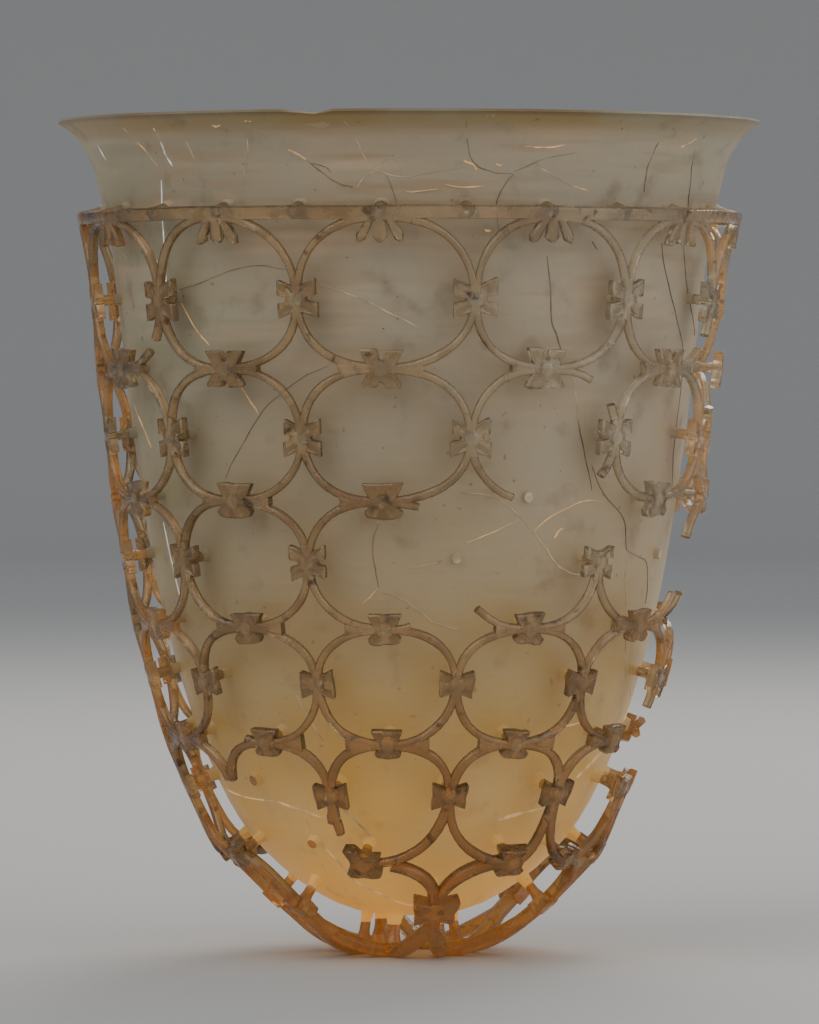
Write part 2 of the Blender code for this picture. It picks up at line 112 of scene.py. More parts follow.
TIE, SIDE = KnotKind
UPPER_LEFT, UPPER_RIGHT, LOWER_LEFT, LOWER_RIGHT = Quarter

# The beaker's outer outline, as shares of the rim's radius and of the height above the foot
BEAKER_OUTLINE = (
    (0.000, 0.0000), (0.095, 0.0030), (0.180, 0.0110), (0.275, 0.0320), (0.360, 0.0600), (0.433, 0.0920),
    (0.490, 0.1260), (0.543, 0.1700), (0.590, 0.2180), (0.631, 0.2700), (0.674, 0.3350), (0.717, 0.4150),
    (0.760, 0.5250), (0.797, 0.6450), (0.824, 0.7500), (0.851, 0.8450), (0.877, 0.9000), (0.903, 0.9450),
    (0.941, 0.9760), (1.000, 1.0000),
)

# Heights of the knots by kind and row, as shares of the band's top
KNOT_SHARES = {
    TIE: (0.9860, 0.7900, 0.6175, 0.4500, 0.2970, 0.1340),
    SIDE: (0.8800, 0.7000, 0.5370, 0.3770, 0.2270, 0.0640),
}

# Half width and half height of the knots, by kind and row
KNOT_SIZES = {
    TIE: (
        (0.0056, 0.0050), (0.0050, 0.0042), (0.0045, 0.0039), (0.0039, 0.0034), (0.0034, 0.0032),
        (0.0031, 0.0026),
    ),
    SIDE: (
        (0.0046, 0.0044), (0.0043, 0.0042), (0.0039, 0.0038), (0.0039, 0.0031), (0.0038, 0.0031),
        (0.0032, 0.0028),
    ),
}

# The last row whose knots have a deep notch between their leaves
LAST_NOTCHED_ROW = {TIE: 1, SIDE: 2}

# Half of the end of a pair of leaves, by whether it is worn and whether its notch is deep, as shares
# of half width and half height: points from the outer corner in, then the notch's points with
# their rise over its bottom
LEAF_ENDS = {
    (False, False): (((1.0, 1.0), (0.45, 1.0)), ((0.0, 0.0),)),
    (False, True): (((1.0, 1.0), (0.19, 1.0)), ((0.15, 0.08), (0.0, 0.0))),
    (True, False): (((0.97, 0.62), (0.80, 0.94), (0.40, 1.0)), ((0.0, 0.0),)),
    (True, True): (((1.0, 0.90), (0.90, 1.0), (0.22, 1.0)), ((0.13, 0.25), (0.0, 0.15))),
}

# Knots set off the even spacing, in degrees, by kind, row and column
SHIFTS = {
    (SIDE, 0, 0): 1.5, (SIDE, 0, 1): 1.6, (SIDE, 1, 0): 1.2, (SIDE, 1, 1): 1.2,
    (TIE, 5, 0): -9.0, (TIE, 5, 1): 7.0,
}

# Knots that are lost, by kind, row and column, with only a strut's stump left behind them
LOST_KNOTS = {
    (TIE, 2, 1), (TIE, 3, 3), (TIE, 4, 3), (TIE, 5, -1), (SIDE, 2, 0), (SIDE, 2, 2),
    (SIDE, 2, 3), (SIDE, 4, -2), (TIE, 3, 6), (SIDE, 3, -5),
}

# Knots that are larger than their row's, by kind, row and column
SCALES = {(TIE, 5, 0): 1.4, (TIE, 5, 1): 1.3, (SIDE, 5, 0): 1.5}

# Knots that have lost their upper right leaf
WORN_KNOTS = {(TIE, 5, 0)}

# Broken quarters of rings, by row, column and quarter: the share left at the tie knot and at the
# side knot. A quarter that isn't named is whole.
BREAKS = {
    (0, -2, LOWER_RIGHT): (0.48, 0.36), (0, 2, LOWER_RIGHT): (0.50, 0.31),
    (0, 3, LOWER_LEFT): (0.0, 0.0), (0, 3, LOWER_RIGHT): (0.0, 0.0),
    (1, 3, UPPER_LEFT): (0.0, 0.0), (1, 3, UPPER_RIGHT): (0.0, 0.25),
    (1, 1, UPPER_RIGHT): (0.38, 0.29), (1, 1, LOWER_LEFT): (0.0, 0.77),
    (1, 1, LOWER_RIGHT): (0.0, 0.39), (2, 0, UPPER_RIGHT): (0.27, 0.0),
    (2, 0, LOWER_RIGHT): (0.20, 0.0), (2, 1, UPPER_LEFT): (0.0, 0.0),
    (2, 1, UPPER_RIGHT): (0.0, 0.0), (2, 1, LOWER_LEFT): (0.54, 0.0),
    (2, 2, UPPER_LEFT): (0.0, 0.0), (2, 2, UPPER_RIGHT): (0.0, 0.0),
    (2, 2, LOWER_RIGHT): (0.67, 0.0), (2, 3, UPPER_LEFT): (0.80, 0.0),
    (2, 3, UPPER_RIGHT): (0.35, 0.0), (2, 3, LOWER_LEFT): (0.0, 0.0),
    (2, 3, LOWER_RIGHT): (0.0, 0.0), (2, 4, UPPER_LEFT): (0.45, 0.0),
    (2, 4, LOWER_LEFT): (0.60, 0.0), (3, 4, LOWER_LEFT): (0.35, 0.25),
    (3, -1, LOWER_LEFT): (0.22, 0.0), (3, 2, LOWER_RIGHT): (0.0, 0.30),
    (3, 3, UPPER_LEFT): (0.0, 0.42), (3, 3, UPPER_RIGHT): (0.0, 0.0),
    (3, 3, LOWER_LEFT): (0.0, 0.0), (3, 3, LOWER_RIGHT): (0.0, 0.0),
    (4, -2, UPPER_RIGHT): (0.86, 0.0), (4, -2, LOWER_RIGHT): (0.0, 0.0),
    (4, -1, UPPER_LEFT): (0.86, 0.0), (4, -1, LOWER_LEFT): (0.0, 0.0),
    (4, -1, LOWER_RIGHT): (0.0, 0.22), (4, 0, LOWER_LEFT): (0.0, 0.34),
    (4, 0, LOWER_RIGHT): (0.0, 0.92), (4, 2, UPPER_RIGHT): (0.0, 0.0),
    (4, 3, UPPER_LEFT): (0.0, 0.0), (4, 3, UPPER_RIGHT): (0.0, 0.0),
    (4, 4, UPPER_LEFT): (0.30, 0.0),
    (5, -1, UPPER_LEFT): (0.0, 0.0), (5, 0, UPPER_RIGHT): (0.0, 0.80),
    (2, 6, LOWER_LEFT): (0.0, 0.45), (2, 6, LOWER_RIGHT): (0.0, 0.60),
    (3, 6, UPPER_LEFT): (0.0, 0.35), (3, 6, UPPER_RIGHT): (0.0, 0.5),
    (3, -5, LOWER_RIGHT): (0.7, 0.0), (3, -4, UPPER_LEFT): (0.6, 0.0),
    (3, -4, LOWER_LEFT): (0.4, 0.0), (3, -5, UPPER_RIGHT): (0.8, 0.0),
}


# Points of the photograph's frame that show on the beaker's wall: finish, width in millimetres and
# the pixels that each repair line, crack or painted glint along a crack runs through
WALL_LINES = (
    (Finish.GLINT, 0.50, ((152, 128), (160, 143), (165, 155), (171, 166))),
    (Finish.GLINT, 0.28, ((92, 138), (98, 148), (105, 160))),
    (Finish.PALE, 0.26, ((179, 131), (187, 145), (193, 159))),
    (Finish.WARM, 0.22, ((122, 128), (140, 146), (156, 166))),
    (Finish.PALE, 0.24, ((72, 130), (82, 145), (89, 160))),
    (Finish.PALE, 0.28, ((243, 126), (247, 149), (241, 182))),
    (Finish.GLINT, 0.28, ((160, 180), (162, 233), (165, 284), (174, 299))),
    (Finish.WARM, 0.70, ((287, 149), (296, 153), (305, 159))),
    (Finish.SOFT, 0.25, ((305, 159), (320, 172), (338, 183), (352, 187))),
    (Finish.PALE, 0.16, ((341, 118), (352, 135), (362, 155), (369, 169))),
    (Finish.PALE, 0.22, ((375, 170), (362, 178), (354, 190))),
    (Finish.PALE, 0.22, ((375, 170), (384, 160), (402, 154))),
    (Finish.PALE, 0.18, ((372, 168), (389, 175), (404, 177), (428, 172), (465, 166))),
    (Finish.SOFT, 0.14, ((384, 174), (390, 186), (395, 203))),
    (Finish.DARK, 0.14, ((310, 163), (322, 166), (330, 172))),
    (Finish.DARK, 0.32, ((395.5, 295.5), (396.5, 296.5))),
    (Finish.DARK, 0.40, ((381.5, 327.5), (382.7, 328.7))),
    (Finish.DARK, 0.40, ((620, 127.5), (621.5, 128.5))),
    (Finish.DARK, 0.30, ((590, 241), (593, 245), (596, 249))),
    (Finish.DARK, 0.28, ((345, 257), (346.5, 258))),
    (Finish.WARM, 0.40, ((484, 114.5), (488, 114), (494, 114.5))),
    (Finish.WARM, 0.35, ((211, 125.5), (215, 126), (219, 125))),
    (Finish.WARM, 0.35, ((242, 121), (246, 120), (250, 121))),
    (Finish.WARM, 0.30, ((523, 146), (533, 147), (545, 147), (563, 145))),
    (Finish.WARM, 0.25, ((405, 192), (420, 191), (436, 189))),
    (Finish.WARM, 0.30, ((443, 184), (460, 187), (482, 186))),
    (Finish.WARM, 0.45, ((494, 163), (497, 165), (500, 164))),
    (Finish.WARM, 0.30, ((571, 186), (578, 188), (586, 190))),
    (Finish.WARM, 0.50, ((483, 229), (486, 230.5), (489, 230))),
    (Finish.GLINT, 0.30, ((146, 243), (152, 255), (158, 266))),
    (Finish.WARM, 0.22, ((178, 299), (192, 325), (208, 345))),
    (Finish.WARM, 0.32, ((239, 386), (250, 402), (258, 415))),
    (Finish.PALE, 0.28, ((118, 245), (124, 256), (131, 266))),
    (Finish.SOFT, 0.16, ((178, 289), (205, 281), (229, 271), (257, 265), (285, 270))),
    (Finish.PALE, 0.26, ((319, 284), (359, 298), (390, 313), (419, 328))),
    (Finish.SOFT, 0.15, ((326, 366), (303, 376), (285, 388), (257, 416), (239, 447), (224, 478))),
    (Finish.SOFT, 0.22, ((465, 118), (466, 144), (474, 164), (492, 172), (512, 174))),
    (Finish.SOFT, 0.18, ((512, 174), (500, 190), (495, 205), (498, 233))),
    (Finish.SOFT, 0.16, ((512, 172), (545, 158), (576, 152))),
    (Finish.PALE, 0.22, ((533, 166), (553, 176), (573, 187))),
    (Finish.WARM, 0.50, ((462, 160), (470, 164), (476, 170))),
    (Finish.SOFT, 0.30, ((673, 128), (660, 138), (652, 151), (645, 172), (642, 192))),
    (Finish.DARK, 0.30, ((693, 151), (689, 180), (686, 207))),
    (Finish.WARM, 0.45, ((679, 147), (688, 142), (696, 136))),
    (Finish.DARK, 0.34, ((681, 243), (686, 290), (693, 335))),
    (Finish.DARK, 0.28, ((660, 243), (663, 268), (668, 289), (675, 318), (681, 345))),
    (Finish.SOFT, 0.20, ((681, 345), (680, 380), (677, 409), (672, 450), (670, 490))),
    (Finish.DARK, 0.26, ((545, 256), (549, 290), (550, 320), (556, 338), (561, 353))),
    (Finish.PALE, 0.20, ((571, 378), (575, 400), (576, 419))),
    (Finish.DARK, 0.24, ((576, 419), (582, 450), (590, 490))),
    (Finish.DARK, 0.26, ((590, 465), (602, 493), (622, 519), (625, 550))),
    (Finish.SOFT, 0.20, ((625, 550), (636, 556), (645, 562), (646, 585), (644, 603))),
    (Finish.WARM, 0.24, ((533, 531), (545, 520), (559, 511), (584, 501), (602, 501))),
    (Finish.PALE, 0.18, ((459, 492), (475, 493), (490, 496), (505, 504), (518, 516), (533, 534))),
    (Finish.PALE, 0.30, ((533, 534), (545, 549), (556, 565), (570, 573), (584, 575))),
    (Finish.WARM, 0.18, ((466, 542), (487, 534), (517, 519))),
    (Finish.PALE, 0.16, ((625, 560), (624, 593), (624, 670), (629, 695))),
    (Finish.SOFT, 0.16, ((377, 524), (372, 537), (371, 550), (374, 570), (377, 588))),
    (Finish.WARM, 0.28, ((377, 588), (369, 596), (361, 603))),
    (Finish.PALE, 0.22, ((380, 592), (395, 596), (415, 609), (431, 621), (456, 629))),
    (Finish.PALE, 0.20, ((405, 568), (420, 566), (436, 562))),
    (Finish.GLINT, 0.28, ((162, 522), (170, 560), (179, 598))),
    (Finish.WARM, 0.30, ((133, 405), (141, 425), (150, 447))),
    (Finish.PALE, 0.22, ((295, 695), (307, 718), (321, 741))),
    (Finish.WARM, 0.34, ((224, 788), (243, 797), (277, 802))),
    (Finish.WARM, 0.60, ((277, 802), (300, 810), (324, 819))),
    (Finish.WARM, 0.42, ((303, 816), (314, 837), (338, 864), (357, 883), (391, 900))),
    (Finish.WARM, 0.30, ((391, 900), (408, 905), (424, 903))),
    (Finish.PALE, 0.36, ((339, 806), (357, 824), (374, 842))),
    (Finish.WARM, 0.80, ((497, 820), (511, 815), (524, 812))),
    (Finish.WARM, 0.40, ((524, 812), (536, 809), (548, 807))),
    (Finish.WARM, 0.80, ((621, 722), (627, 710), (632, 692))),
    (Finish.WARM, 0.80, ((575, 778), (590, 762), (605, 746))),
    (Finish.WARM, 0.40, ((553, 538), (556, 532), (561, 528))),
    (Finish.WARM, 0.30, ((538, 733), (560, 727), (584, 721))),
)


def smooth_line(points: np.ndarray, steps: int) -> np.ndarray:
    """Run a smooth curve through points.

    Between two points b and c, with a before and d after them, the curve is
    (2b + (c - a)t + (2a - 5b + 4c - d)t^2 + (3b - a - 3c + d)t^3) / 2 for t from 0 to 1.

    Args:
        points: Points in rows.
        steps: Steps between each two points.

    Returns:
        The curve's points in rows.
    """
    padded = np.vstack((2 * points[0] - points[1], points, 2 * points[-1] - points[-2]))
    a, b, c, d = (padded[i:len(padded) - 3 + i, None, :] for i in range(4))
    t = np.linspace(0.0, 1.0, steps, endpoint=False)[None, :, None]
    curve = 0.5 * (2 * b + (c - a) * t + (2 * a - 5 * b + 4 * c - d) * t ** 2
                   + (3 * b - a - 3 * c + d) * t ** 3)
    return np.vstack((curve.reshape(-1, points.shape[1]), points[-1]))


def rounded_section(around: int, square: float) -> np.ndarray:
    """Points round a section |x|^n + |y|^n = 1.

    Args:
        around: Number of points.
        square: The power n, from 2 for an ellipse up towards a rectangle.

    Returns:
        A row of x and a row of y.
    """
    turn = np.linspace(0.0, FULL_TURN, around, endpoint=False) + math.pi / around
    circle = np.stack((np.cos(turn), np.sin(turn)))
    return np.sign(circle) * np.abs(circle) ** (2.0 / square)


def turned(reach: np.ndarray, rise: np.ndarray, angle: np.ndarray) -> np.ndarray:
    """Points (r sin a, -r cos a, z) of radii, heights and angles, with coordinates in the last axis."""
    return np.stack(np.broadcast_arrays(reach * np.sin(angle), -reach * np.cos(angle), rise), axis=-1)


def is_within(angle: float, reach: float) -> bool:
    """Whether an angle in degrees lies within a reach to either side of the front."""
    return abs((angle + 180.0) % 360.0 - 180.0) < reach


def home_column(column: int) -> int:
    """A column's number in the range that the tables of breaks and lost knots use."""
    return (column - FIRST_COLUMN) % COLUMNS + FIRST_COLUMN


@dataclass
class Form:
    """Corners and faces of one or more closed surfaces, with the material slot of each face."""

    corners: np.ndarray
    quads: np.ndarray
    triangles: np.ndarray
    quad_slots: np.ndarray
    triangle_slots: np.ndarray

    @staticmethod
    def plain(corners: np.ndarray, quads: np.ndarray, triangles: np.ndarray, slot: int) -> "Form":
        """A form whose faces all have one slot."""
        slots = (np.full(len(faces), int(slot)) for faces in (quads, triangles))
        return Form(corners, quads, triangles, *slots)

    @staticmethod
    def stack(rings: np.ndarray, slot: int) -> "Form":
        """Close a stack of rings into one surface, with a fan to a middle point at each end.

        Quad (i, j) joins points j and j + 1 of ring i to the same points of ring i + 1. The rings
        turn counter-clockwise as seen from the side that the stack grows towards.

        Args:
            rings: Rings by row, then points, then coordinates.
            slot: The faces' slot.

        Returns:
            The closed form.
        """
        rows, count = rings.shape[:2]
        here = np.arange(count)
        beside = (here + 1) % count
        starts = np.arange(rows - 1)[:, None] * count
        low, after = (starts + here).ravel(), (starts + beside).ravel()
        quads = np.column_stack((low, after, after + count, low + count))
        first, last, last_ring = rows * count, rows * count + 1, (rows - 1) * count
        near = np.column_stack((np.full(count, first), beside, here))
        far = np.column_stack((np.full(count, last), here + last_ring, beside + last_ring))
        middles = np.stack((rings[0].mean(axis=0), rings[-1].mean(axis=0)))
        return Form.plain(np.vstack((rings.reshape(-1, 3), middles)), quads, np.vstack((near, far)), slot)

    @staticmethod
    def loop(rings: np.ndarray, slot: int) -> "Form":
        """Close rings round into a hoop, in which the last ring is joined to the first.

        Args:
            rings: Rings by row, then points, then coordinates.
            slot: The faces' slot.

        Returns:
            The closed form.
        """
        rows, count = rings.shape[:2]
        row, point = np.meshgrid(np.arange(rows), np.arange(count), indexing="ij")
        here, beside = row * count + point, row * count + (point + 1) % count
        after, both = (row + 1) % rows * count + point, (row + 1) % rows * count + (point + 1) % count
        quads = np.stack((here, beside, both, after), axis=-1).reshape(-1, 4)
        return Form.plain(rings.reshape(-1, 3), quads, np.zeros((0, 3), dtype=int), slot)

    @staticmethod
    def joined(forms: list["Form"]) -> "Form":
        """Put forms side by side in one form, without uniting them.

        Args:
            forms: The forms.

        Returns:
            One form with the corners and faces of all.
        """
        starts = np.concatenate(((0,), np.cumsum([len(form.corners) for form in forms])))[:-1]
        return Form(
            np.vstack([form.corners for form in forms]),
            np.vstack([form.quads + start for form, start in zip(forms, starts)]),
            np.vstack([form.triangles + start for form, start in zip(forms, starts)]),
            np.concatenate([form.quad_slots for form in forms]),
            np.concatenate([form.triangle_slots for form in forms]),
        )

    def to_object(self, name: str, materials: list[bpy.types.Material]) -> bpy.types.Object:
        """Make a mesh object of the form.

        Args:
            name: The object's name.
            materials: Materials of its slots.

        Returns:
            The object, linked to the scene.
        """
        mesh = bpy.data.meshes.new(name)
        sizes = np.concatenate((np.full(len(self.quads), 4), np.full(len(self.triangles), 3)))
        loops = np.concatenate((self.quads.ravel(), self.triangles.ravel()))
        mesh.vertices.add(len(self.corners))
        mesh.vertices.foreach_set("co", self.corners.ravel())
        mesh.loops.add(len(loops))
        mesh.loops.foreach_set("vertex_index", loops.astype(np.int32))
        mesh.polygons.add(len(sizes))
        starts = np.concatenate(((0,), np.cumsum(sizes)))[:-1]
        mesh.polygons.foreach_set("loop_start", starts.astype(np.int32))
        slots = np.concatenate((self.quad_slots, self.triangle_slots))
        mesh.polygons.foreach_set("material_index", slots.astype(np.int32))
        for material in materials:
            mesh.materials.append(material)
        mesh.update(calc_edges=True)
        mesh.validate()
        thing = bpy.data.objects.new(name, mesh)
        bpy.context.scene.collection.objects.link(thing)
        return thing


def unite(base: bpy.types.Object, others: list[bpy.types.Object]) -> None:
    """Unite closed objects into the first one, which gets a new mesh and no modifiers.

    Args:
        base: The object that takes the union.
        others: Closed objects, which are removed.
    """
    for other in others:
        union = base.modifiers.new(other.name, "BOOLEAN")
        union.operation = "UNION"
        union.solver = "MANIFOLD"
        union.object = other
    dressed = base.evaluated_get(bpy.context.evaluated_depsgraph_get())
    mesh = bpy.data.meshes.new_from_object(dressed)
    base.modifiers.clear()
    base.data = mesh
    for other in others:
        bpy.data.objects.remove(other, do_unlink=True)


def join(base: bpy.types.Object, other: bpy.types.Object) -> None:
    """Put the faces of another object into the first one's mesh, and remove that object.

    Args:
        base: The object that takes the faces.
        other: The object that gives them.
    """
    work = bmesh.new()
    for thing in (base, other):
        work.from_mesh(thing.data)
    work.to_mesh(base.data)
    work.free()
    bpy.data.objects.remove(other, do_unlink=True)


@dataclass
class Outline:
    """The beaker's outline and the cage's outline that follows it at a stand-off."""

    height: float
    rim_radius: float
    foot_rise: float = 0.0082
    foot_flat: float = 0.0016
    full_stand_off_share: float = 0.14
    side_stand_off: float = 0.0077
    band_stand_off: float = 0.0060
    band_drop: float = 0.0200
    band_depth: float = 0.0027
    steps: int = 12
    wall: np.ndarray = field(init=False)
    normal: np.ndarray = field(init=False)
    stand_off: np.ndarray = field(init=False)
    outer: np.ndarray = field(init=False)
    path: np.ndarray = field(init=False)

    def __post_init__(self) -> None:
        """Work out the outlines.

        The normal is the outline's direction turned by a quarter. The cage's outer outline is the
        wall plus the normal times the stand-off, and never lies under the table.
        """
        shares = smooth_line(np.array(BEAKER_OUTLINE), self.steps)
        self.wall = shares * (self.rim_radius, self.height - self.foot_rise) + (0.0, self.foot_rise)
        run = np.gradient(self.wall, axis=0)
        run /= np.linalg.norm(run, axis=1)[:, None]
        self.normal = np.column_stack((run[:, 1], -run[:, 0]))
        self.normal[0] = (0.0, -1.0)
        rises = (0.0, self.full_stand_off_share * self.height, self.band_top - self.foot_rise)
        stand_offs = (self.foot_rise + self.foot_flat, self.side_stand_off, self.band_stand_off)
        self.stand_off = np.interp(self.wall[:, 1] - self.foot_rise, rises, stand_offs)
        self.outer = self.wall + self.normal * self.stand_off[:, None]
        self.outer[:, 1] = np.maximum(self.outer[:, 1], 0.0)
        steps = np.linalg.norm(np.diff(self.outer, axis=0), axis=1)
        self.path = np.concatenate(((0.0,), np.cumsum(steps)))

    @property
    def band_top(self) -> float:
        """Height of the collar band's top."""
        return self.height - self.band_drop

    def path_at_height(self, height: float) -> float:
        """Path length where the cage's outer face reaches a height."""
        return float(np.interp(height, self.outer[:, 1], self.path))

    def path_under_band_top(self, share: float) -> float:
        """Path length at a share of the way down the collar band."""
        return self.path_at_height(self.band_top - self.band_depth * share)

    def path_at_radius(self, radius: np.ndarray | float) -> np.ndarray:
        """Path length where the cage's outer face reaches a radius, near the foot."""
        return np.interp(radius, self.outer[:, 0], self.path)

    def radius(self, path: np.ndarray | float) -> np.ndarray:
        """Radius of the cage's outer face at a path length."""
        return np.interp(path, self.path, self.outer[:, 0])

    def gap(self, path: np.ndarray | float) -> np.ndarray:
        """Distance from the cage's outer face to the beaker's wall at a path length."""
        return np.interp(path, self.path, self.stand_off)

    def place(self, angle: np.ndarray, path: np.ndarray, depth: np.ndarray) -> np.ndarray:
        """Points in space of places on the cage.

        With the outer face (r, z) and its normal (m, n) at the path length, the point is
        ((r - m depth) sin angle, -(r - m depth) cos angle, z - n depth).

        Args:
            angle: Angles in radians.
            path: Path lengths.
            depth: Depths under the outer face.

        Returns:
            Points, with coordinates in the last axis.
        """
        out, up = (np.interp(path, self.path, self.normal[:, k]) for k in (0, 1))
        height = np.interp(path, self.path, self.outer[:, 1])
        return turned(self.radius(path) - out * depth, height - up * depth, angle)


@dataclass(frozen=True)
class View:
    """The photograph's camera: level with the axis in its middle column, at a distance in front."""

    distance: float = 1.5
    height: float = 0.1264
    focal: float = 6930.0
    middle_column: float = 408.0
    level_row: float = 369.0
    rounds: int = 12
    most_sine: float = 0.995

    def on_wall(self, outline: Outline, pixels: np.ndarray) -> tuple[np.ndarray, np.ndarray]:
        """Where pixels of the photograph meet the front of the beaker's wall.

        A point (x, y, z) shows at column c + f x / (d + y) and row l + f (h - z) / (d + y). The
        depth y is -r(z) cos a with sin a = x / r(z), and a few rounds settle it.

        Args:
            outline: The beaker's outline.
            pixels: Columns and rows.

        Returns:
            Angles in radians and heights.
        """
        depth = np.full(len(pixels), -outline.rim_radius)
        for _ in range(self.rounds):
            scale = (self.distance + depth) / self.focal
            x = (pixels[:, 0] - self.middle_column) * scale
            z = self.height - (pixels[:, 1] - self.level_row) * scale
            radius = np.interp(z, outline.wall[:, 1], outline.wall[:, 0])
            angle = np.arcsin(np.clip(x / radius, -self.most_sine, self.most_sine))
            depth = -radius * np.cos(angle)
        return angle, z


@dataclass
class WallLines:
    """Repair lines and cracks in the beaker's wall, with painted glints along them, as thin strips let into
    its outer face.
    """

    outline: Outline
    view: View
    proud: float = 0.00010
    sunk: float = 0.00030
    wander: float = 0.00012
    wander_filter: Triple = (0.25, 0.5, 0.25)
    least_half: float = 0.00004
    taper: int = 6
    unevenness: Pair = (0.65, 1.15)
    steps: int = 5
    seed: int = 5

    def strip(self, finish: Finish, width: float, pixels: tuple[Pair, ...],
              chance: np.random.Generator) -> Form:
        """One strip along a smooth curve through its pixels, narrowing to both ends.

        At the share s of its length the half width is w (1 - |2s - 1|^n), with a small least width.

        Args:
            finish: The finish of its faces.
            width: Full width in metres.
            pixels: The pixels that it runs through.
            chance: The generator of its small turns.

        Returns:
            The closed strip.
        """
        angle, height = self.view.on_wall(self.outline, np.array(pixels, dtype=float))
        line = smooth_line(np.column_stack((angle, height)), self.steps)
        angle, height = line[:, 0], line[:, 1]
        wall = self.outline.wall
        radius = np.interp(height, wall[:, 1], wall[:, 0])
        normal = np.column_stack([np.interp(height, wall[:, 1], self.outline.normal[:, k]) for k in (0, 1)])
        run = np.column_stack((np.gradient(angle) * radius, np.gradient(height)))
        run /= np.linalg.norm(run, axis=1)[:, None]
        share = np.linspace(0.0, 1.0, len(line))
        half = np.maximum(width / 2 * (1.0 - np.abs(2 * share - 1) ** self.taper), self.least_half)
        half = half * chance.uniform(*self.unevenness, len(line))
        sway = np.convolve(chance.normal(0.0, self.wander, len(line)), self.wander_filter, mode="same")
        across = sway[:, None] + half[:, None] * np.array((-1.0, 1.0, 1.0, -1.0))
        lift = np.array((self.proud, self.proud, -self.sunk, -self.sunk))[None, :]
        reach = radius[:, None] + normal[:, :1] * lift
        where = angle[:, None] + across * run[:, 1:] / radius[:, None]
        rise = height[:, None] - across * run[:, :1] + normal[:, 1:] * lift
        return Form.stack(turned(reach, rise, where)[:, ::-1], finish)

    def build(self) -> Form:
        """All strips, side by side."""
        chance = np.random.default_rng(self.seed)
        return Form.joined([self.strip(finish, width / MILLIMETRES, pixels, chance)
                            for finish, width, pixels in WALL_LINES])


@dataclass(frozen=True)
class Detail:
    """How finely one side of the cage is made: steps along, points round, and rings of a knot."""

    bar_steps: int
    bar_around: int
    leaf_steps: int
    leaf_around: int
    strut_around: int
    knot_shares: tuple[float, ...]


SEEN = Detail(11, 10, 7, 8, 8, (0.0, 0.10, 0.35, 0.62, 0.86, 1.0))
HIDDEN = Detail(8, 6, 5, 6, 6, (0.0, 0.5, 1.0))


@dataclass(frozen=True)
class Knot:
    """One knot: its kind, row and column, and the place of its middle, with the angle in degrees."""

    kind: KnotKind
    row: int
    column: int
    angle: float
    path: float

    @property
    def key(self) -> tuple[KnotKind, int, int]:
        """What the tables of knots know it by."""
        return self.kind, self.row, self.column

    @property
    def is_lost(self) -> bool:
        """Whether only a stump is left of it."""
        return self.key in LOST_KNOTS

    @property
    def is_hanging(self) -> bool:
        """Whether it is a half knot under the band."""
        return self.kind is TIE and self.row == 0

    @property
    def is_front(self) -> bool:
        """Whether it is seen from the front."""
        return is_within(self.angle, FRONT_REACH)

    @property
    def detail(self) -> Detail:
        """How finely it and what holds it are made."""
        return SEEN if self.is_front else HIDDEN


@dataclass
class Beaker:
    """The turned beaker inside the cage, with a lip ground smooth and one small chip in it."""

    outline: Outline
    wall: float = 0.0020
    lip_wall: float = 0.0013
    lip_section: tuple[Pair, ...] = ((0.0, 0.0005), (0.35, 0.0), (0.75, 0.00005), (1.0, 0.0005))
    around: int = 120
    outer_rings: int = 44
    inner_rings: int = 22
    foot_share: float = 0.012
    inner_top_share: float = 0.985
    chip_angle: float = -16.0
    chip_width: float = 2.2
    chip_depth: float = 0.0010
    chip_reach: float = 0.002

    def section(self) -> np.ndarray:
        """The closed outline from the foot up the outside, over the lip and down the inside.

        A point of the lip's section lies a share of the lip's wall in from the rim and a drop
        under the top.

        Returns:
            Radii and heights in rows.
        """
        o = self.outline
        length = np.concatenate(((0.0,), np.cumsum(np.linalg.norm(np.diff(o.wall, axis=0), axis=1))))

        def at(values: np.ndarray, shares: np.ndarray) -> np.ndarray:
            """Values along the outline at shares of its length."""
            return np.column_stack([np.interp(shares * length[-1], length, values[:, k]) for k in (0, 1)])

        out_shares = np.linspace(self.foot_share, 1.0, self.outer_rings)[:-1]
        in_shares = np.linspace(self.inner_top_share, self.foot_share, self.inner_rings)
        inside = at(o.wall, in_shares) - at(o.normal, in_shares) * self.wall
        inwards, drop = np.array(self.lip_section).T
        lip = np.column_stack((o.rim_radius - inwards * self.lip_wall, o.height - drop))
        return np.vstack((at(o.wall, out_shares), lip, inside[inside[:, 1] < o.height - self.wall]))

    def build(self) -> Form:
        """Turn the outline round the axis, with the chip let down into the lip.

        The chip lowers the lip by a bell curve of the angle, d exp(-((a - b) / w)^2) in degrees.

        Returns:
            The closed beaker.
        """
        line = self.section()
        angle = np.linspace(0.0, FULL_TURN, self.around, endpoint=False)[None, :]
        reach, rise = line[:, :1], line[:, 1:]
        off = (np.degrees(angle) - self.chip_angle + 180.0) % 360.0 - 180.0
        near_lip = np.clip((rise - (self.outline.height - self.chip_reach)) / self.chip_reach, 0.0, 1.0)
        rise = rise - self.chip_depth * near_lip * np.exp(-(off / self.chip_width) ** 2)
        return Form.stack(turned(reach, rise, angle), Finish.BEAKER)


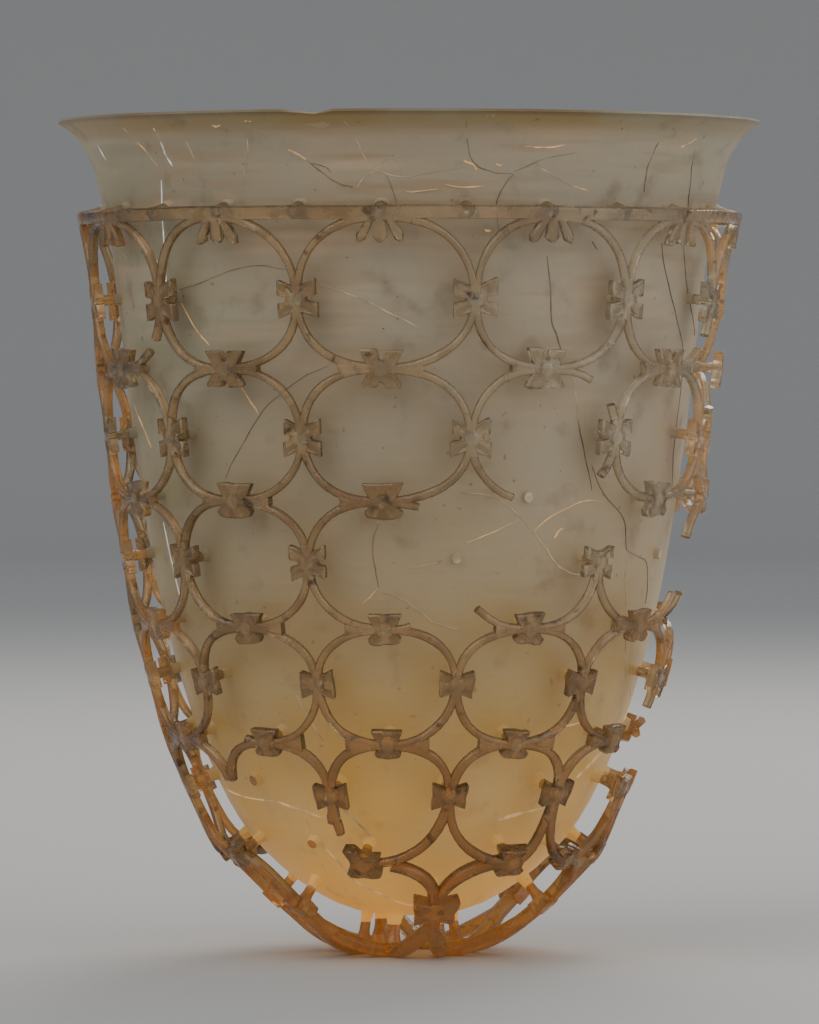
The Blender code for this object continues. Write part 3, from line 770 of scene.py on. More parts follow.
@dataclass
class Cage:
    """The openwork cage: ring bars, carved knots, collar band, foot rosette and struts."""

    outline: Outline
    seed: int = 11
    chance: np.random.Generator = field(init=False)
    thickness: float = 0.0021
    foot_thickness: float = 0.0032

    # Bars by row, and how a bar swells (share of its width, waves) and sways
    bar_widths: tuple[float, ...] = (0.00174, 0.00174, 0.00174, 0.00174, 0.0021, 0.0028)
    bar_square: float = 2.2
    ring_square: float = 2.25
    tie_gap: float = 0.00010
    side_gap: float = 0.00020
    least_share: float = 0.01
    fewest_steps: int = 4
    swells: tuple[Pair, ...] = ((0.07, 5.0), (0.05, 13.0))
    unevenness: float = 0.00020
    sway_waves: float = 4.0

    # Foot rosette
    petals: int = 6
    petal_width: float = 0.0040
    petal_steps: int = 12
    petal_around: int = 10
    petal_spread: float = 0.6
    tip_radius: float = 0.0107
    parting_radius: float = 0.0262

    # Outline of a knot's leaves, as shares of its half width and half height
    leaf_root: tuple[Pair, ...] = ((0.66, 0.0), (0.69, 0.30))
    leaf_widths: Pair = (0.86, 1.05)
    leaf_heights: Pair = (0.88, 1.05)
    deep_notches: Pair = (0.40, 0.62)
    shallow_notches: Pair = (0.88, 1.02)
    worn_share: float = 0.30
    worn_height: float = 0.46
    corner_cut: float = 0.00022
    most_cut: float = 0.4
    longest_edge: float = 0.0018

    # Carving of a knot: its boss, hollows and rounded edge, and the shape of its back
    boss_radius: float = 0.0014
    boss_top: float = 0.55
    boss_drop: float = 0.00008
    hollow_depth: float = 0.00060
    hollow_end: float = 0.92
    hollow_rings: tuple[int, int] = (2, 5)
    hollow_edge: float = 0.16
    flutes: int = 14
    flute_depth: float = 0.20
    face_drop: float = 0.00012
    edge_round: float = 0.00035
    edge_start: float = 0.84
    edge_cut: float = 0.98
    back_sizes: tuple[float, ...] = (1.0, 0.98, 0.55)
    back_depths: tuple[float, ...] = (0.80, 0.97, 1.0)

    # Half knots under the band: side and half width of each leaf, then its root, reach and end
    hanging_leaves: tuple[tuple[int, float], ...] = ((-1, 0.0012), (0, 0.0016), (1, 0.0012))
    hanging_root: float = 0.6
    hanging_start: float = 0.0013
    hanging_inset: float = 0.0022
    hanging_lengths: Pair = (0.95, 1.05)
    hanging_widths: Pair = (0.62, 0.42)
    hanging_end: Pair = (0.80, 0.205)
    least_taper: float = 0.02
    leaf_square: float = 3.2

    # Webs between rings: the reach from the knot, and the share of both bars that a web needs
    web_reach: float = 0.0088
    web_start: float = 0.3
    web_lengths: Pair = (0.88, 1.05)
    web_steps: int = 5
    web_around: int = 8
    web_share: float = 0.45

    # Collar band, with its waves: height, number and start of each
    band_along: int = 144
    band_around: int = 12
    band_square: float = 4.0
    band_waves: tuple[tuple[float, int, float], ...] = ((0.00006, 7, 0.0), (0.00005, 17, 1.0))

    # Struts: rings along them and at their roots, flare of their ends, and the share left of a stump
    strut_radius: float = 0.00105
    strut_bite: float = 0.0012
    strut_rings: int = 6
    root_rings: int = 2
    broken_strut: float = 0.33
    flared_row: int = 4
    flare: float = 0.45
    low_flare: float = 1.1
    low_thick: float = 1.15
    band_rise: float = 0.0009
    band_strut_width: float = 1.7
    tip_strut_width: float = 1.4
    plain_around: int = 12

    def __post_init__(self) -> None:
        """Start the generator that gives each bar and knot its own slight unevenness."""
        self.chance = np.random.default_rng(self.seed)

    def knot(self, kind: KnotKind, row: int, column: int) -> Knot:
        """The knot of a kind at a row and column.

        Args:
            kind: The knot's kind.
            row: Its row, counted down from the band.
            column: Its column, counted round from the front.

        Returns:
            The knot.
        """
        spacing = 360.0 / COLUMNS
        angle = FRONT_RING_ANGLE + spacing * column + SHIFTS.get((kind, row, column), 0.0)
        if kind is SIDE:
            angle += spacing / 2
        path = self.outline.path_at_height(KNOT_SHARES[kind][row] * self.outline.band_top)
        return Knot(kind, row, column, angle, path)

    def knots(self) -> list[Knot]:
        """Every knot of the pattern, lost ones too."""
        columns = [home_column(number) for number in range(COLUMNS)]
        return [self.knot(kind, row, column) for kind in KnotKind for row in range(RING_ROWS + 1)
                for column in columns if not (kind is SIDE and row == RING_ROWS and column % 2)]

    def thickness_in(self, row: int) -> float:
        """The cage's thickness in a row."""
        return self.thickness if row < RING_ROWS else self.foot_thickness

    def ribbon(self, angle: np.ndarray, path: np.ndarray, half: np.ndarray, depth: float, section: np.ndarray,
               sway: np.ndarray | float = 0.0) -> Form:
        """A closed bar along places on the cage, of changing width.

        The section's point (x, y) moves its place by h x + s across the bar, which is the bar's
        direction turned by a quarter, and lies at the depth d (1 + y) / 2.

        Args:
            angle: Angles of the places, in radians.
            path: Path lengths of the places.
            half: Half widths h at the places.
            depth: The bar's full depth d.
            section: A row of x and a row of y.
            sway: How far s the bar strays sideways at the places.

        Returns:
            The closed bar.
        """
        radius = self.outline.radius(path)
        run = np.column_stack((np.gradient(angle) * radius, np.gradient(path)))
        run /= np.linalg.norm(run, axis=1)[:, None]
        across = section[0][None, :] * half[:, None] + np.broadcast_to(sway, half.shape)[:, None]
        where = angle[:, None] + across * run[:, 1:] / radius[:, None]
        along = path[:, None] - across * run[:, :1]
        down = np.broadcast_to(section[1] * depth / 2 + depth / 2, where.shape)
        return Form.stack(self.outline.place(where, along, down), Finish.CAGE)

    def bar(self, angle: np.ndarray, path: np.ndarray, width: float, depth: float, around: int) -> Form:
        """A rounded bar along places on the cage, a little uneven.

        At the share s of its length the width is w (1 + sum of e sin(n s + b)), and the bar sways
        by u sin(m s + c) sin(pi s), with drawn phases b and c.

        Args:
            angle: Angles of the places, in radians.
            path: Path lengths of the places.
            width: The bar's full width w.
            depth: The bar's full depth.
            around: Points round the section.

        Returns:
            The closed bar.
        """
        phase = self.chance.uniform(0.0, FULL_TURN, 3)
        share = np.linspace(0.0, 1.0, len(angle))
        swells = zip(self.swells, phase)
        swell = 1.0 + sum(size * np.sin(waves * share + start) for (size, waves), start in swells)
        sway = self.unevenness * np.sin(self.sway_waves * share + phase[2]) * np.sin(math.pi * share)
        section = rounded_section(around, self.bar_square)
        return self.ribbon(angle, path, swell * width / 2, depth, section, sway)

    def quarter(self, row: int, column: int, quarter: Quarter) -> list[Form]:
        """The pieces that are left of one quarter of a ring.

        The quarter runs from its tie knot to its side knot along
        (tie angle + across sin(t)^p, side path - along cos(t)^p) for t from 0 to 90 degrees.

        Args:
            row: The ring's row.
            column: The ring's column.
            quarter: Which quarter.

        Returns:
            One whole bar, or the broken stubs at either end.
        """
        step_down, step_side = quarter.value
        tie_row, side_column = row + step_down, column + step_side
        in_foot = row == RING_ROWS
        if in_foot and (tie_row > row or side_column % 2):
            return []
        tie = self.knot(TIE, tie_row, column)
        side = self.knot(SIDE, row, home_column(side_column))
        side_angle = side.angle + 360.0 * round((tie.angle - side.angle) / 360.0)
        tie_gap, side_gap = (0.0, 0.0) if in_foot else (self.tie_gap, self.side_gap)
        tie_path = tie.path + (tie_gap if step_down else -tie_gap)
        turn_off = math.degrees(side_gap / float(self.outline.radius(side.path)))
        side_angle += turn_off if step_side else -turn_off
        left_at_tie, left_at_side = BREAKS.get((row, column, quarter), (1.0, 0.0))
        detail, power = tie.detail, 2.0 / self.ring_square
        pieces = []
        for first, last in ((0.0, left_at_tie), (1.0 - left_at_side, 1.0)):
            if last - first < self.least_share:
                continue
            steps = max(self.fewest_steps, round(detail.bar_steps * (last - first)))
            turn = np.radians(90.0 * np.linspace(first, last, steps + 1))
            angle = np.radians(tie.angle + (side_angle - tie.angle) * np.sin(turn) ** power)
            path = side.path - (side.path - tie_path) * np.maximum(np.cos(turn), 0.0) ** power
            width, thickness = self.bar_widths[row], self.thickness_in(row)
            pieces.append(self.bar(angle, path, width, thickness, detail.bar_around))
        return pieces

    def petal_side(self, petal: int, side: int) -> Form:
        """One side of a petal of the foot rosette, from its tip to the knot beside it.

        At the share s of the way from the tip's radius to the parting radius, the bar stands
        off the petal's axis by half a petal times s^p.

        Args:
            petal: The petal's number.
            side: Which side it is, -1 or 1.

        Returns:
            The closed bar.
        """
        half = 180.0 / self.petals
        knot = self.knot(SIDE, RING_ROWS, 0)
        axis = knot.angle - half + 2 * half * petal
        share = np.linspace(0.0, 1.0, self.petal_steps) ** 2
        radius = self.tip_radius + share * (self.parting_radius - self.tip_radius)
        radius = np.append(radius, float(self.outline.radius(knot.path)))
        turn = np.append(half * share ** self.petal_spread, half)
        path = self.outline.path_at_radius(radius)
        angle = np.radians(axis + side * turn)
        return self.bar(angle, path, self.petal_width, self.foot_thickness, self.petal_around)

    def leaf_outline(self, knot: Knot) -> np.ndarray:
        """Outline of a knot of four leaves, as across and along distances from its middle.

        A leaf's side slants from its root out to its corner. Its end runs to the notch between the
        leaves. Each leaf and notch has its own size. A worn knot has lost its upper right leaf.

        Args:
            knot: The knot.

        Returns:
            Points in rows.
        """
        scale = SCALES.get(knot.key, 1.0)
        half_width, half_height = (size * scale for size in KNOT_SIZES[knot.kind][knot.row])
        upright = knot.kind is SIDE
        if upright:
            half_width, half_height = half_height, half_width
        ends = {sy: self.leaf_end(knot, sy) for sy in (1, -1)}
        corners = []
        for sx, sy in ((1, 1), (-1, 1), (-1, -1), (1, -1)):
            size, lean = (self.chance.uniform(*limits) for limits in (self.leaf_widths, self.leaf_heights))
            across, along = half_width * size * sx, half_height * lean * sy
            run = [(x * across, y * along) for x, y in (*self.leaf_root, *ends[sy][:-1])]
            run += [(0.0, ends[sy][-1][1] * half_height * sy)]
            corners += run[:-1] if sx * sy > 0 else run[:0:-1]
        ring = np.array(corners)
        if knot.key in WORN_KNOTS:
            lost = (ring[:, 0] > -self.worn_share * half_width) & (ring[:, 1] > 0.0)
            ring[lost, 1] *= self.worn_height
        if upright:
            ring = ring[::-1, ::-1]
        return self.cut_corners(ring) if knot.is_front else ring

    def leaf_end(self, knot: Knot, side: int) -> tuple[Pair, ...]:
        """Half of the end of a pair of leaves, as shares of their half width and height.

        Args:
            knot: The knot.
            side: Which pair it is, 1 or -1 along the outline.

        Returns:
            Points from the outer corner to the notch's bottom.
        """
        is_deep = knot.row <= LAST_NOTCHED_ROW[knot.kind]
        is_worn = side < 0 and knot.kind is TIE
        bottom = self.chance.uniform(*(self.deep_notches if is_deep else self.shallow_notches))
        end, notch = LEAF_ENDS[is_worn, is_deep]
        return (*end, *((x, bottom + rise) for x, rise in notch))

    def cut_corners(self, ring: np.ndarray) -> np.ndarray:
        """Cut off the corners of a closed outline, and part its long edges into short ones.

        Args:
            ring: Corners in rows.

        Returns:
            Points in rows.
        """
        before, after = np.roll(ring, 1, axis=0) - ring, np.roll(ring, -1, axis=0) - ring
        cuts = [way * np.minimum(self.corner_cut / np.linalg.norm(way, axis=1), self.most_cut)[:, None]
                for way in (before, after)]
        points = np.stack((ring + cuts[0], ring + cuts[1]), axis=1).reshape(-1, 2)
        closed = np.vstack((points, points[:1]))
        steps = np.linalg.norm(np.diff(closed, axis=0), axis=1)
        length = np.concatenate(((0.0,), np.cumsum(steps)))
        parts = np.maximum(1, np.round(steps / self.longest_edge)).astype(int)
        first = np.repeat(np.arange(len(parts)), parts)
        share = (np.arange(len(first)) - np.repeat(np.cumsum(parts) - parts, parts)) / parts[first]
        at = length[first] + share * steps[first]
        return np.column_stack([np.interp(at, length, closed[:, k]) for k in (0, 1)])

    def carved(self, knot: Knot) -> Form:
        """A carved knot over an outline that is seen whole from its middle.

        A front point at the share s lies at b + (p - b) s, where p is the outline's point and b the
        round boss's. Its depth is the hollow's, h sin(pi s) times |sin 2a|^3 of its bearing a,
        plus a rounding of the edge, e (1 - root(1 - q^2)), where q runs from 0 to 1 in the last
        share. Hollows, which are darkened as painted shade, and boss have their own finishes.

        Args:
            knot: The knot.

        Returns:
            The closed knot.
        """
        ring = self.leaf_outline(knot)[::-1]
        share = np.array(knot.detail.knot_shares)[:, None]
        bearing = np.arctan2(ring[:, 1], ring[:, 0])[None, :]
        boss = self.boss_radius * np.stack((np.cos(bearing[0]), np.sin(bearing[0])), axis=-1)[None]
        points = boss + (ring[None] - boss) * share[:, :, None]
        leaf = np.abs(np.sin(2 * bearing)) ** 3
        flute = 1.0 - self.flute_depth + self.flute_depth * np.cos(self.flutes * bearing)
        fall = np.sin(math.pi * np.clip(share / self.hollow_end, 0.0, 1.0))
        hollow = self.hollow_depth * leaf * flute * fall
        edge = np.clip((share - self.edge_start) / (1.0 - self.edge_start), 0.0, 1.0)
        down = hollow + self.face_drop + self.edge_round * (1.0 - np.sqrt(1.0 - self.edge_cut * edge ** 2))
        down[0] = self.boss_drop
        back = [size * ring[None] for size in self.back_sizes]
        points = np.concatenate((self.boss_top * boss, points, *back))
        flat = np.array(self.back_depths)[:, None] * self.thickness_in(knot.row)
        flat = np.broadcast_to(flat, (len(flat), len(ring)))
        down = np.vstack((np.zeros((1, len(ring))), down, flat))
        angle = math.radians(knot.angle) + points[:, :, 0] / float(self.outline.radius(knot.path))
        form = Form.stack(self.outline.place(angle, knot.path + points[:, :, 1], down), Finish.CAGE)
        slots = form.quad_slots.reshape(-1, len(ring))
        if knot.is_front:
            # Painted shade: the hollows of seen knots get the darker glass
            is_hollow = (leaf[0] > self.hollow_edge) & (np.roll(leaf[0], -1) > self.hollow_edge)
            slots[slice(*self.hollow_rings)] = np.where(is_hollow, Finish.HOLLOW, Finish.CAGE)
        slots[0] = Finish.STRUT
        form.triangle_slots[:len(ring)] = Finish.STRUT
        return form

    def hanging_knot(self, knot: Knot) -> list[Form]:
        """The half knot under the band: three leaves that spread downwards from its lower edge.

        A leaf runs from the band to its end along a straight line. At the share s its half width
        is w (a + b s), and it narrows along a quarter circle at its end.

        Args:
            knot: The half knot's place.

        Returns:
            The three leaves.
        """
        half_width, drop = KNOT_SIZES[TIE][0]
        top = self.outline.path_under_band_top(self.hanging_root)
        radius = float(self.outline.radius(top))
        share = np.linspace(0.0, 1.0, knot.detail.leaf_steps)
        end_start, end_length = self.hanging_end
        narrowing = 1.0 - (np.clip(share - end_start, 0.0, 1.0) / end_length) ** 2
        taper = np.sqrt(np.clip(narrowing, self.least_taper, 1.0))
        first_width, widening = self.hanging_widths
        section = rounded_section(knot.detail.leaf_around, self.leaf_square)
        leaves = []
        for turn, half in self.hanging_leaves:
            length = drop * self.chance.uniform(*self.hanging_lengths)
            length += self.outline.band_depth * (1.0 - self.hanging_root)
            across = turn * (self.hanging_start + share * (half_width - self.hanging_inset))
            angle = math.radians(knot.angle) + across / radius
            halves = half * (first_width + widening * share) * taper
            leaves.append(self.ribbon(angle, top - share * length, halves, self.thickness, section))
        return leaves

    def webs(self) -> list[Form]:
        """The webs of glass left where two rings part on either side of a knot between them.

        At the distance x from the knot a web is as wide as the gap between the two bars,
        d (1 - (1 - (x / a)^n)^(1 / n)) to either side, where a and d are half a ring's size.

        Returns:
            The webs.
        """
        section = rounded_section(self.web_around, self.leaf_square)
        sides = ((-1, LOWER_LEFT, UPPER_LEFT), (1, LOWER_RIGHT, UPPER_RIGHT))
        found = []
        for knot in self.knots():
            if knot.kind is not TIE or not 0 < knot.row < RING_ROWS or knot.is_lost or not knot.is_front:
                continue
            radius = float(self.outline.radius(knot.path))
            half_ring = math.radians(180.0 / COLUMNS) * radius
            rise = self.knot(SIDE, knot.row - 1, knot.column).path - knot.path
            for side, above, below in sides:
                left = [BREAKS.get((row, knot.column, quarter), (1.0, 0.0))[0]
                        for row, quarter in ((knot.row - 1, above), (knot.row, below))]
                if min(left) < self.web_share:
                    continue
                reach = self.web_reach * self.chance.uniform(*self.web_lengths)
                across = np.linspace(self.web_start, 1.0, self.web_steps) * reach
                bend = (1.0 - (across / half_ring) ** self.ring_square) ** (1.0 / self.ring_square)
                half = rise * (1.0 - bend) + self.tie_gap
                angle = math.radians(knot.angle) + side * across / radius
                path = np.full(len(across), knot.path)
                found.append(self.ribbon(angle, path, half, self.thickness, section))
        return found

    def strut(self, angle: float, path: float, around: int, reach: float = 1.0, rise: float = 0.0,
              wide: float = 1.0, is_low: bool = False) -> Form:
        """A strut from inside the cage to inside the wall, thicker at both ends.

        The radius at the share s of its way is r (1 + f (2s - 1)^2), with the flare f.

        Args:
            angle: Its angle in degrees.
            path: Its path length.
            around: Points round it.
            reach: The share of its way from the wall that is left.
            rise: How far its root lies further up the wall.
            wide: How many times wider than high it is at the wall.
            is_low: Whether it is one of the thick, flared struts near the foot.

        Returns:
            The closed strut, whose root has the beaker's finish. A stump has it all over, with a
            pale broken end if it isn't low.
        """
        start, end = self.thickness * 0.5, float(self.outline.gap(path)) + self.strut_bite
        flare, thick = (self.low_flare, self.low_thick) if is_low else (self.flare, 1.0)
        share = np.linspace(1.0 - reach, 1.0, self.strut_rings)[:, None]
        depth = start + share * (end - start)
        radius = self.strut_radius * thick * (1.0 + flare * (2 * share - 1) ** 2)
        turn = np.linspace(0.0, FULL_TURN, around, endpoint=False)[None, :]
        across = radius * np.cos(turn) * (1.0 + (wide - 1.0) * share)
        along = radius * np.sin(turn) + rise * share
        where = math.radians(angle) + across / float(self.outline.radius(path))
        rings = self.outline.place(where, path + along, np.broadcast_to(depth, where.shape))
        form = Form.stack(rings[:, ::-1], Finish.STRUT)
        root_rings = self.root_rings if reach == 1.0 else self.strut_rings - 1
        form.quad_slots[len(form.quads) - root_rings * around:] = Finish.BEAKER
        form.triangle_slots[around:] = Finish.BEAKER
        # The broken end gets the pale line finish: cream, with a faint painted glow
        if reach < 1.0 and not is_low:
            form.triangle_slots[:around] = Finish.PALE
        return form

    def band(self) -> Form:
        """The collar band, a rounded bar that runs all the way round and waves a little.

        Returns:
            The closed hoop.
        """
        low, high = (self.outline.path_under_band_top(share) for share in (1.0, 0.0))
        across, down = rounded_section(self.band_around, self.band_square)
        angle = np.linspace(0.0, FULL_TURN, self.band_along, endpoint=False)[:, None]
        wave = sum(size * np.sin(waves * angle + start) for size, waves, start in self.band_waves)
        path = (low + high) / 2 + across[None, :] * (high - low) / 2 + wave
        depth = np.broadcast_to(down * self.thickness / 2 + self.thickness / 2, path.shape)
        rings = self.outline.place(np.broadcast_to(angle, path.shape), path, depth)
        return Form.loop(rings[:, ::-1], Finish.CAGE)

    def struts(self) -> list[Form]:
        """The struts behind all knots and the band, and under the petals' tips.

        Returns:
            Struts, and the stumps of lost knots.
        """
        found = []
        for knot in self.knots():
            if knot.is_hanging:
                continue
            reach = self.broken_strut if knot.is_lost else 1.0
            is_low = knot.row >= self.flared_row
            found.append(self.strut(knot.angle, knot.path, knot.detail.strut_around, reach, is_low=is_low))
        under_band = self.outline.path_under_band_top(0.5)
        found += [self.strut(FRONT_RING_ANGLE + 180.0 / COLUMNS * i, under_band, self.plain_around,
                             rise=self.band_rise, wide=self.band_strut_width) for i in range(2 * COLUMNS)]
        tip = float(self.outline.path_at_radius(self.tip_radius))
        first = self.knot(SIDE, RING_ROWS, 0).angle - 180.0 / self.petals
        found += [self.strut(first + 360.0 / self.petals * i, tip, self.plain_around,
                             wide=self.tip_strut_width, is_low=True) for i in range(self.petals)]
        return found

    def build(self) -> list[tuple[str, Form]]:
        """Make all forms of the cage, in groups whose members never touch each other.

        Returns:
            Each group's name and form.
        """
        groups = {}
        for quarter in Quarter:
            groups[f"{quarter.name.lower()}_bars"] = [
                form for row in range(RING_ROWS + 1) for number in range(COLUMNS)
                for form in self.quarter(row, home_column(number), quarter)]
        for name, side in (("left", -1), ("right", 1)):
            groups[f"{name}_petal_sides"] = [self.petal_side(i, side) for i in range(self.petals)]
        whole = [knot for knot in self.knots() if not knot.is_lost]
        hanging = [self.hanging_knot(knot) for knot in whole if knot.is_hanging]
        groups["knots"] = [self.carved(knot) for knot in whole if not knot.is_hanging]
        groups |= {f"hanging_leaves_{i}": list(leaves) for i, leaves in enumerate(zip(*hanging))}
        groups["webs"] = self.webs()
        groups["band"] = [self.band()]
        groups["struts"] = self.struts()
        return [(name, Form.joined(forms)) for name, forms in groups.items()]


class Sum:
    """A node socket that takes part in expressions, each of which adds a Math node."""

    def __init__(self, shader: "Shader", socket: bpy.types.NodeSocket) -> None:
        """Keep the socket and the shader that it belongs to."""
        self.shader = shader
        self.socket = socket

    def _with(self, operation: str, *values: "Sum | float") -> "Sum":
        """A Math node's result for an operation on values."""
        return self.shader.add("ShaderNodeMath", {"operation": operation}, dict(enumerate(values))).out(0)

    def __add__(self, other: "Sum | float") -> "Sum":
        """The sum of both."""
        return self._with("ADD", self, other)

    def __radd__(self, other: float) -> "Sum":
        """The sum of both."""
        return self._with("ADD", other, self)

    def __sub__(self, other: "Sum | float") -> "Sum":
        """This less the other."""
        return self._with("SUBTRACT", self, other)

    def __rsub__(self, other: float) -> "Sum":
        """The other less this."""
        return self._with("SUBTRACT", other, self)

    def __mul__(self, other: "Sum | float") -> "Sum":
        """The product of both."""
        return self._with("MULTIPLY", self, other)

    def __rmul__(self, other: float) -> "Sum":
        """The product of both."""
        return self._with("MULTIPLY", other, self)

    def __truediv__(self, other: "Sum | float") -> "Sum":
        """This divided by the other."""
        return self._with("DIVIDE", self, other)

    def __rtruediv__(self, other: float) -> "Sum":
        """The other divided by this."""
        return self._with("DIVIDE", other, self)

    def __neg__(self) -> "Sum":
        """Nought less this."""
        return 0.0 - self

    def clamp(self, low: float, high: float) -> "Sum":
        """How far the value has come from one limit to the other, eased at both, from 0 to 1."""
        settings = {"interpolation_type": "SMOOTHSTEP"}
        return self.shader.add("ShaderNodeMapRange", settings, {0: self, 1: low, 2: high}).out(0)


class Node:
    """A shader node with its outputs at hand."""

    def __init__(self, shader: "Shader", node: bpy.types.Node) -> None:
        """Keep the node and its shader."""
        self.shader = shader
        self.node = node

    def out(self, name: int | str) -> Sum:
        """One of the node's outputs."""
        return Sum(self.shader, self.node.outputs[name])


@dataclass(frozen=True)
class Grain:
    """Noise by its scale and detail."""

    scale: float
    detail: float


@dataclass(frozen=True)
class Tint:
    """A colour that comes in over another as a measure grows from a low to a high limit."""

    low: float
    high: float
    strength: float
    colour: Colour


class Shader:
    """A material's node tree, to which nodes are added by type, settings and sockets."""

    def __init__(self, name: str) -> None:
        """Start a material with a Principled BSDF.

        Args:
            name: The material's name.
        """
        self.material = bpy.data.materials.new(name)
        self.material.use_nodes = True
        self.tree = self.material.node_tree
        self.surface = self.tree.nodes["Principled BSDF"]

    def add(self, kind: str, settings: dict | None = None, sockets: dict | None = None) -> Node:
        """Add a node.

        Args:
            kind: The node's type.
            settings: Attributes that are set first.
            sockets: Values or links of its inputs, by number or name.

        Returns:
            The node.
        """
        node = self.tree.nodes.new(kind)
        for name, value in (settings or {}).items():
            setattr(node, name, value)
        self.feed(node, sockets or {})
        return Node(self, node)

    def feed(self, node: bpy.types.Node, sockets: dict) -> None:
        """Link a node's inputs to expressions, or give them plain values.

        Args:
            node: The node.
            sockets: Expressions, numbers, vectors and colours, by the input's number or name.
        """
        for name, value in sockets.items():
            target = node.inputs[name]
            if isinstance(value, Sum):
                self.tree.links.new(value.socket, target)
            else:
                target.default_value = (*value, 1.0) if target.type == "RGBA" else value

    @cached_property
    def place(self) -> Sum:
        """Object coordinates."""
        return self.add("ShaderNodeTexCoord").out("Object")

    def dress(self, sockets: dict) -> bpy.types.Material:
        """Feed the surface's inputs, and give the finished material."""
        self.feed(self.surface, sockets)
        return self.material

    def ramp(self, factor: Sum, stops: tuple[tuple[float, Colour], ...]) -> Sum:
        """A colour that runs smoothly through stops.

        Args:
            factor: What it follows, from 0 to 1.
            stops: Places and colours.

        Returns:
            The colour.
        """
        node = self.tree.nodes.new("ShaderNodeValToRGB")
        bar = node.color_ramp
        bar.interpolation = "B_SPLINE"
        while len(bar.elements) < len(stops):
            bar.elements.new(0.5)
        for element, (place, colour) in zip(bar.elements, stops):
            element.position = place
            element.color = (*colour, 1.0)
        self.feed(node, {0: factor})
        return Sum(self, node.outputs[0])

    def mix(self, factor: Sum | float, first: Sum | Colour, second: Sum | Colour) -> Sum:
        """A colour between two colours."""
        return self.add("ShaderNodeMix", {"data_type": "RGBA"}, {0: factor, 6: first, 7: second}).out(2)

    def tint(self, colour: Sum | Colour, measure: Sum, tint: Tint, within: Sum | None = None) -> Sum:
        """Lay a tint over a colour.

        Args:
            colour: The colour under it.
            measure: What the tint's limits are for.
            tint: The colour over it, with its limits and strength.
            within: A mask that it keeps to.

        Returns:
            The tinted colour.
        """
        mask = measure.clamp(tint.low, tint.high)
        mask = mask if within is None else mask * within
        return self.mix(mask * tint.strength, colour, tint.colour)

    def noise(self, grain: Grain, place: Sum | None = None) -> Sum:
        """Noise on the object or at a place, from 0 to 1."""
        sockets = {"Vector": place or self.place, "Scale": grain.scale, "Detail": grain.detail}
        return self.add("ShaderNodeTexNoise", {}, sockets).out(0)

    def stretched(self, factors: Triple) -> Sum:
        """Object coordinates times three factors."""
        return self.add("ShaderNodeVectorMath", {"operation": "MULTIPLY"}, {0: self.place, 1: factors}).out(0)

    def position(self, height: float) -> tuple[Sum, Sum, Sum]:
        """Place across and along the table in metres, and the level as a share of a height."""
        parts = self.add("ShaderNodeSeparateXYZ", {}, {0: self.place})
        return parts.out(0), parts.out(1), parts.out(2) * (1.0 / height)

    def facing(self, blend: float) -> Sum:
        """How far a surface turns away from the eye, for painted sheen and painted dark edges."""
        return self.add("ShaderNodeLayerWeight", {}, {"Blend": blend}).out("Facing")

    def relief(self, height: Sum, strength: float, distance: float) -> Sum:
        """A bump of the surface by a height."""
        sockets = {"Strength": strength, "Distance": distance, "Height": height}
        return self.add("ShaderNodeBump", {}, sockets).out(0)


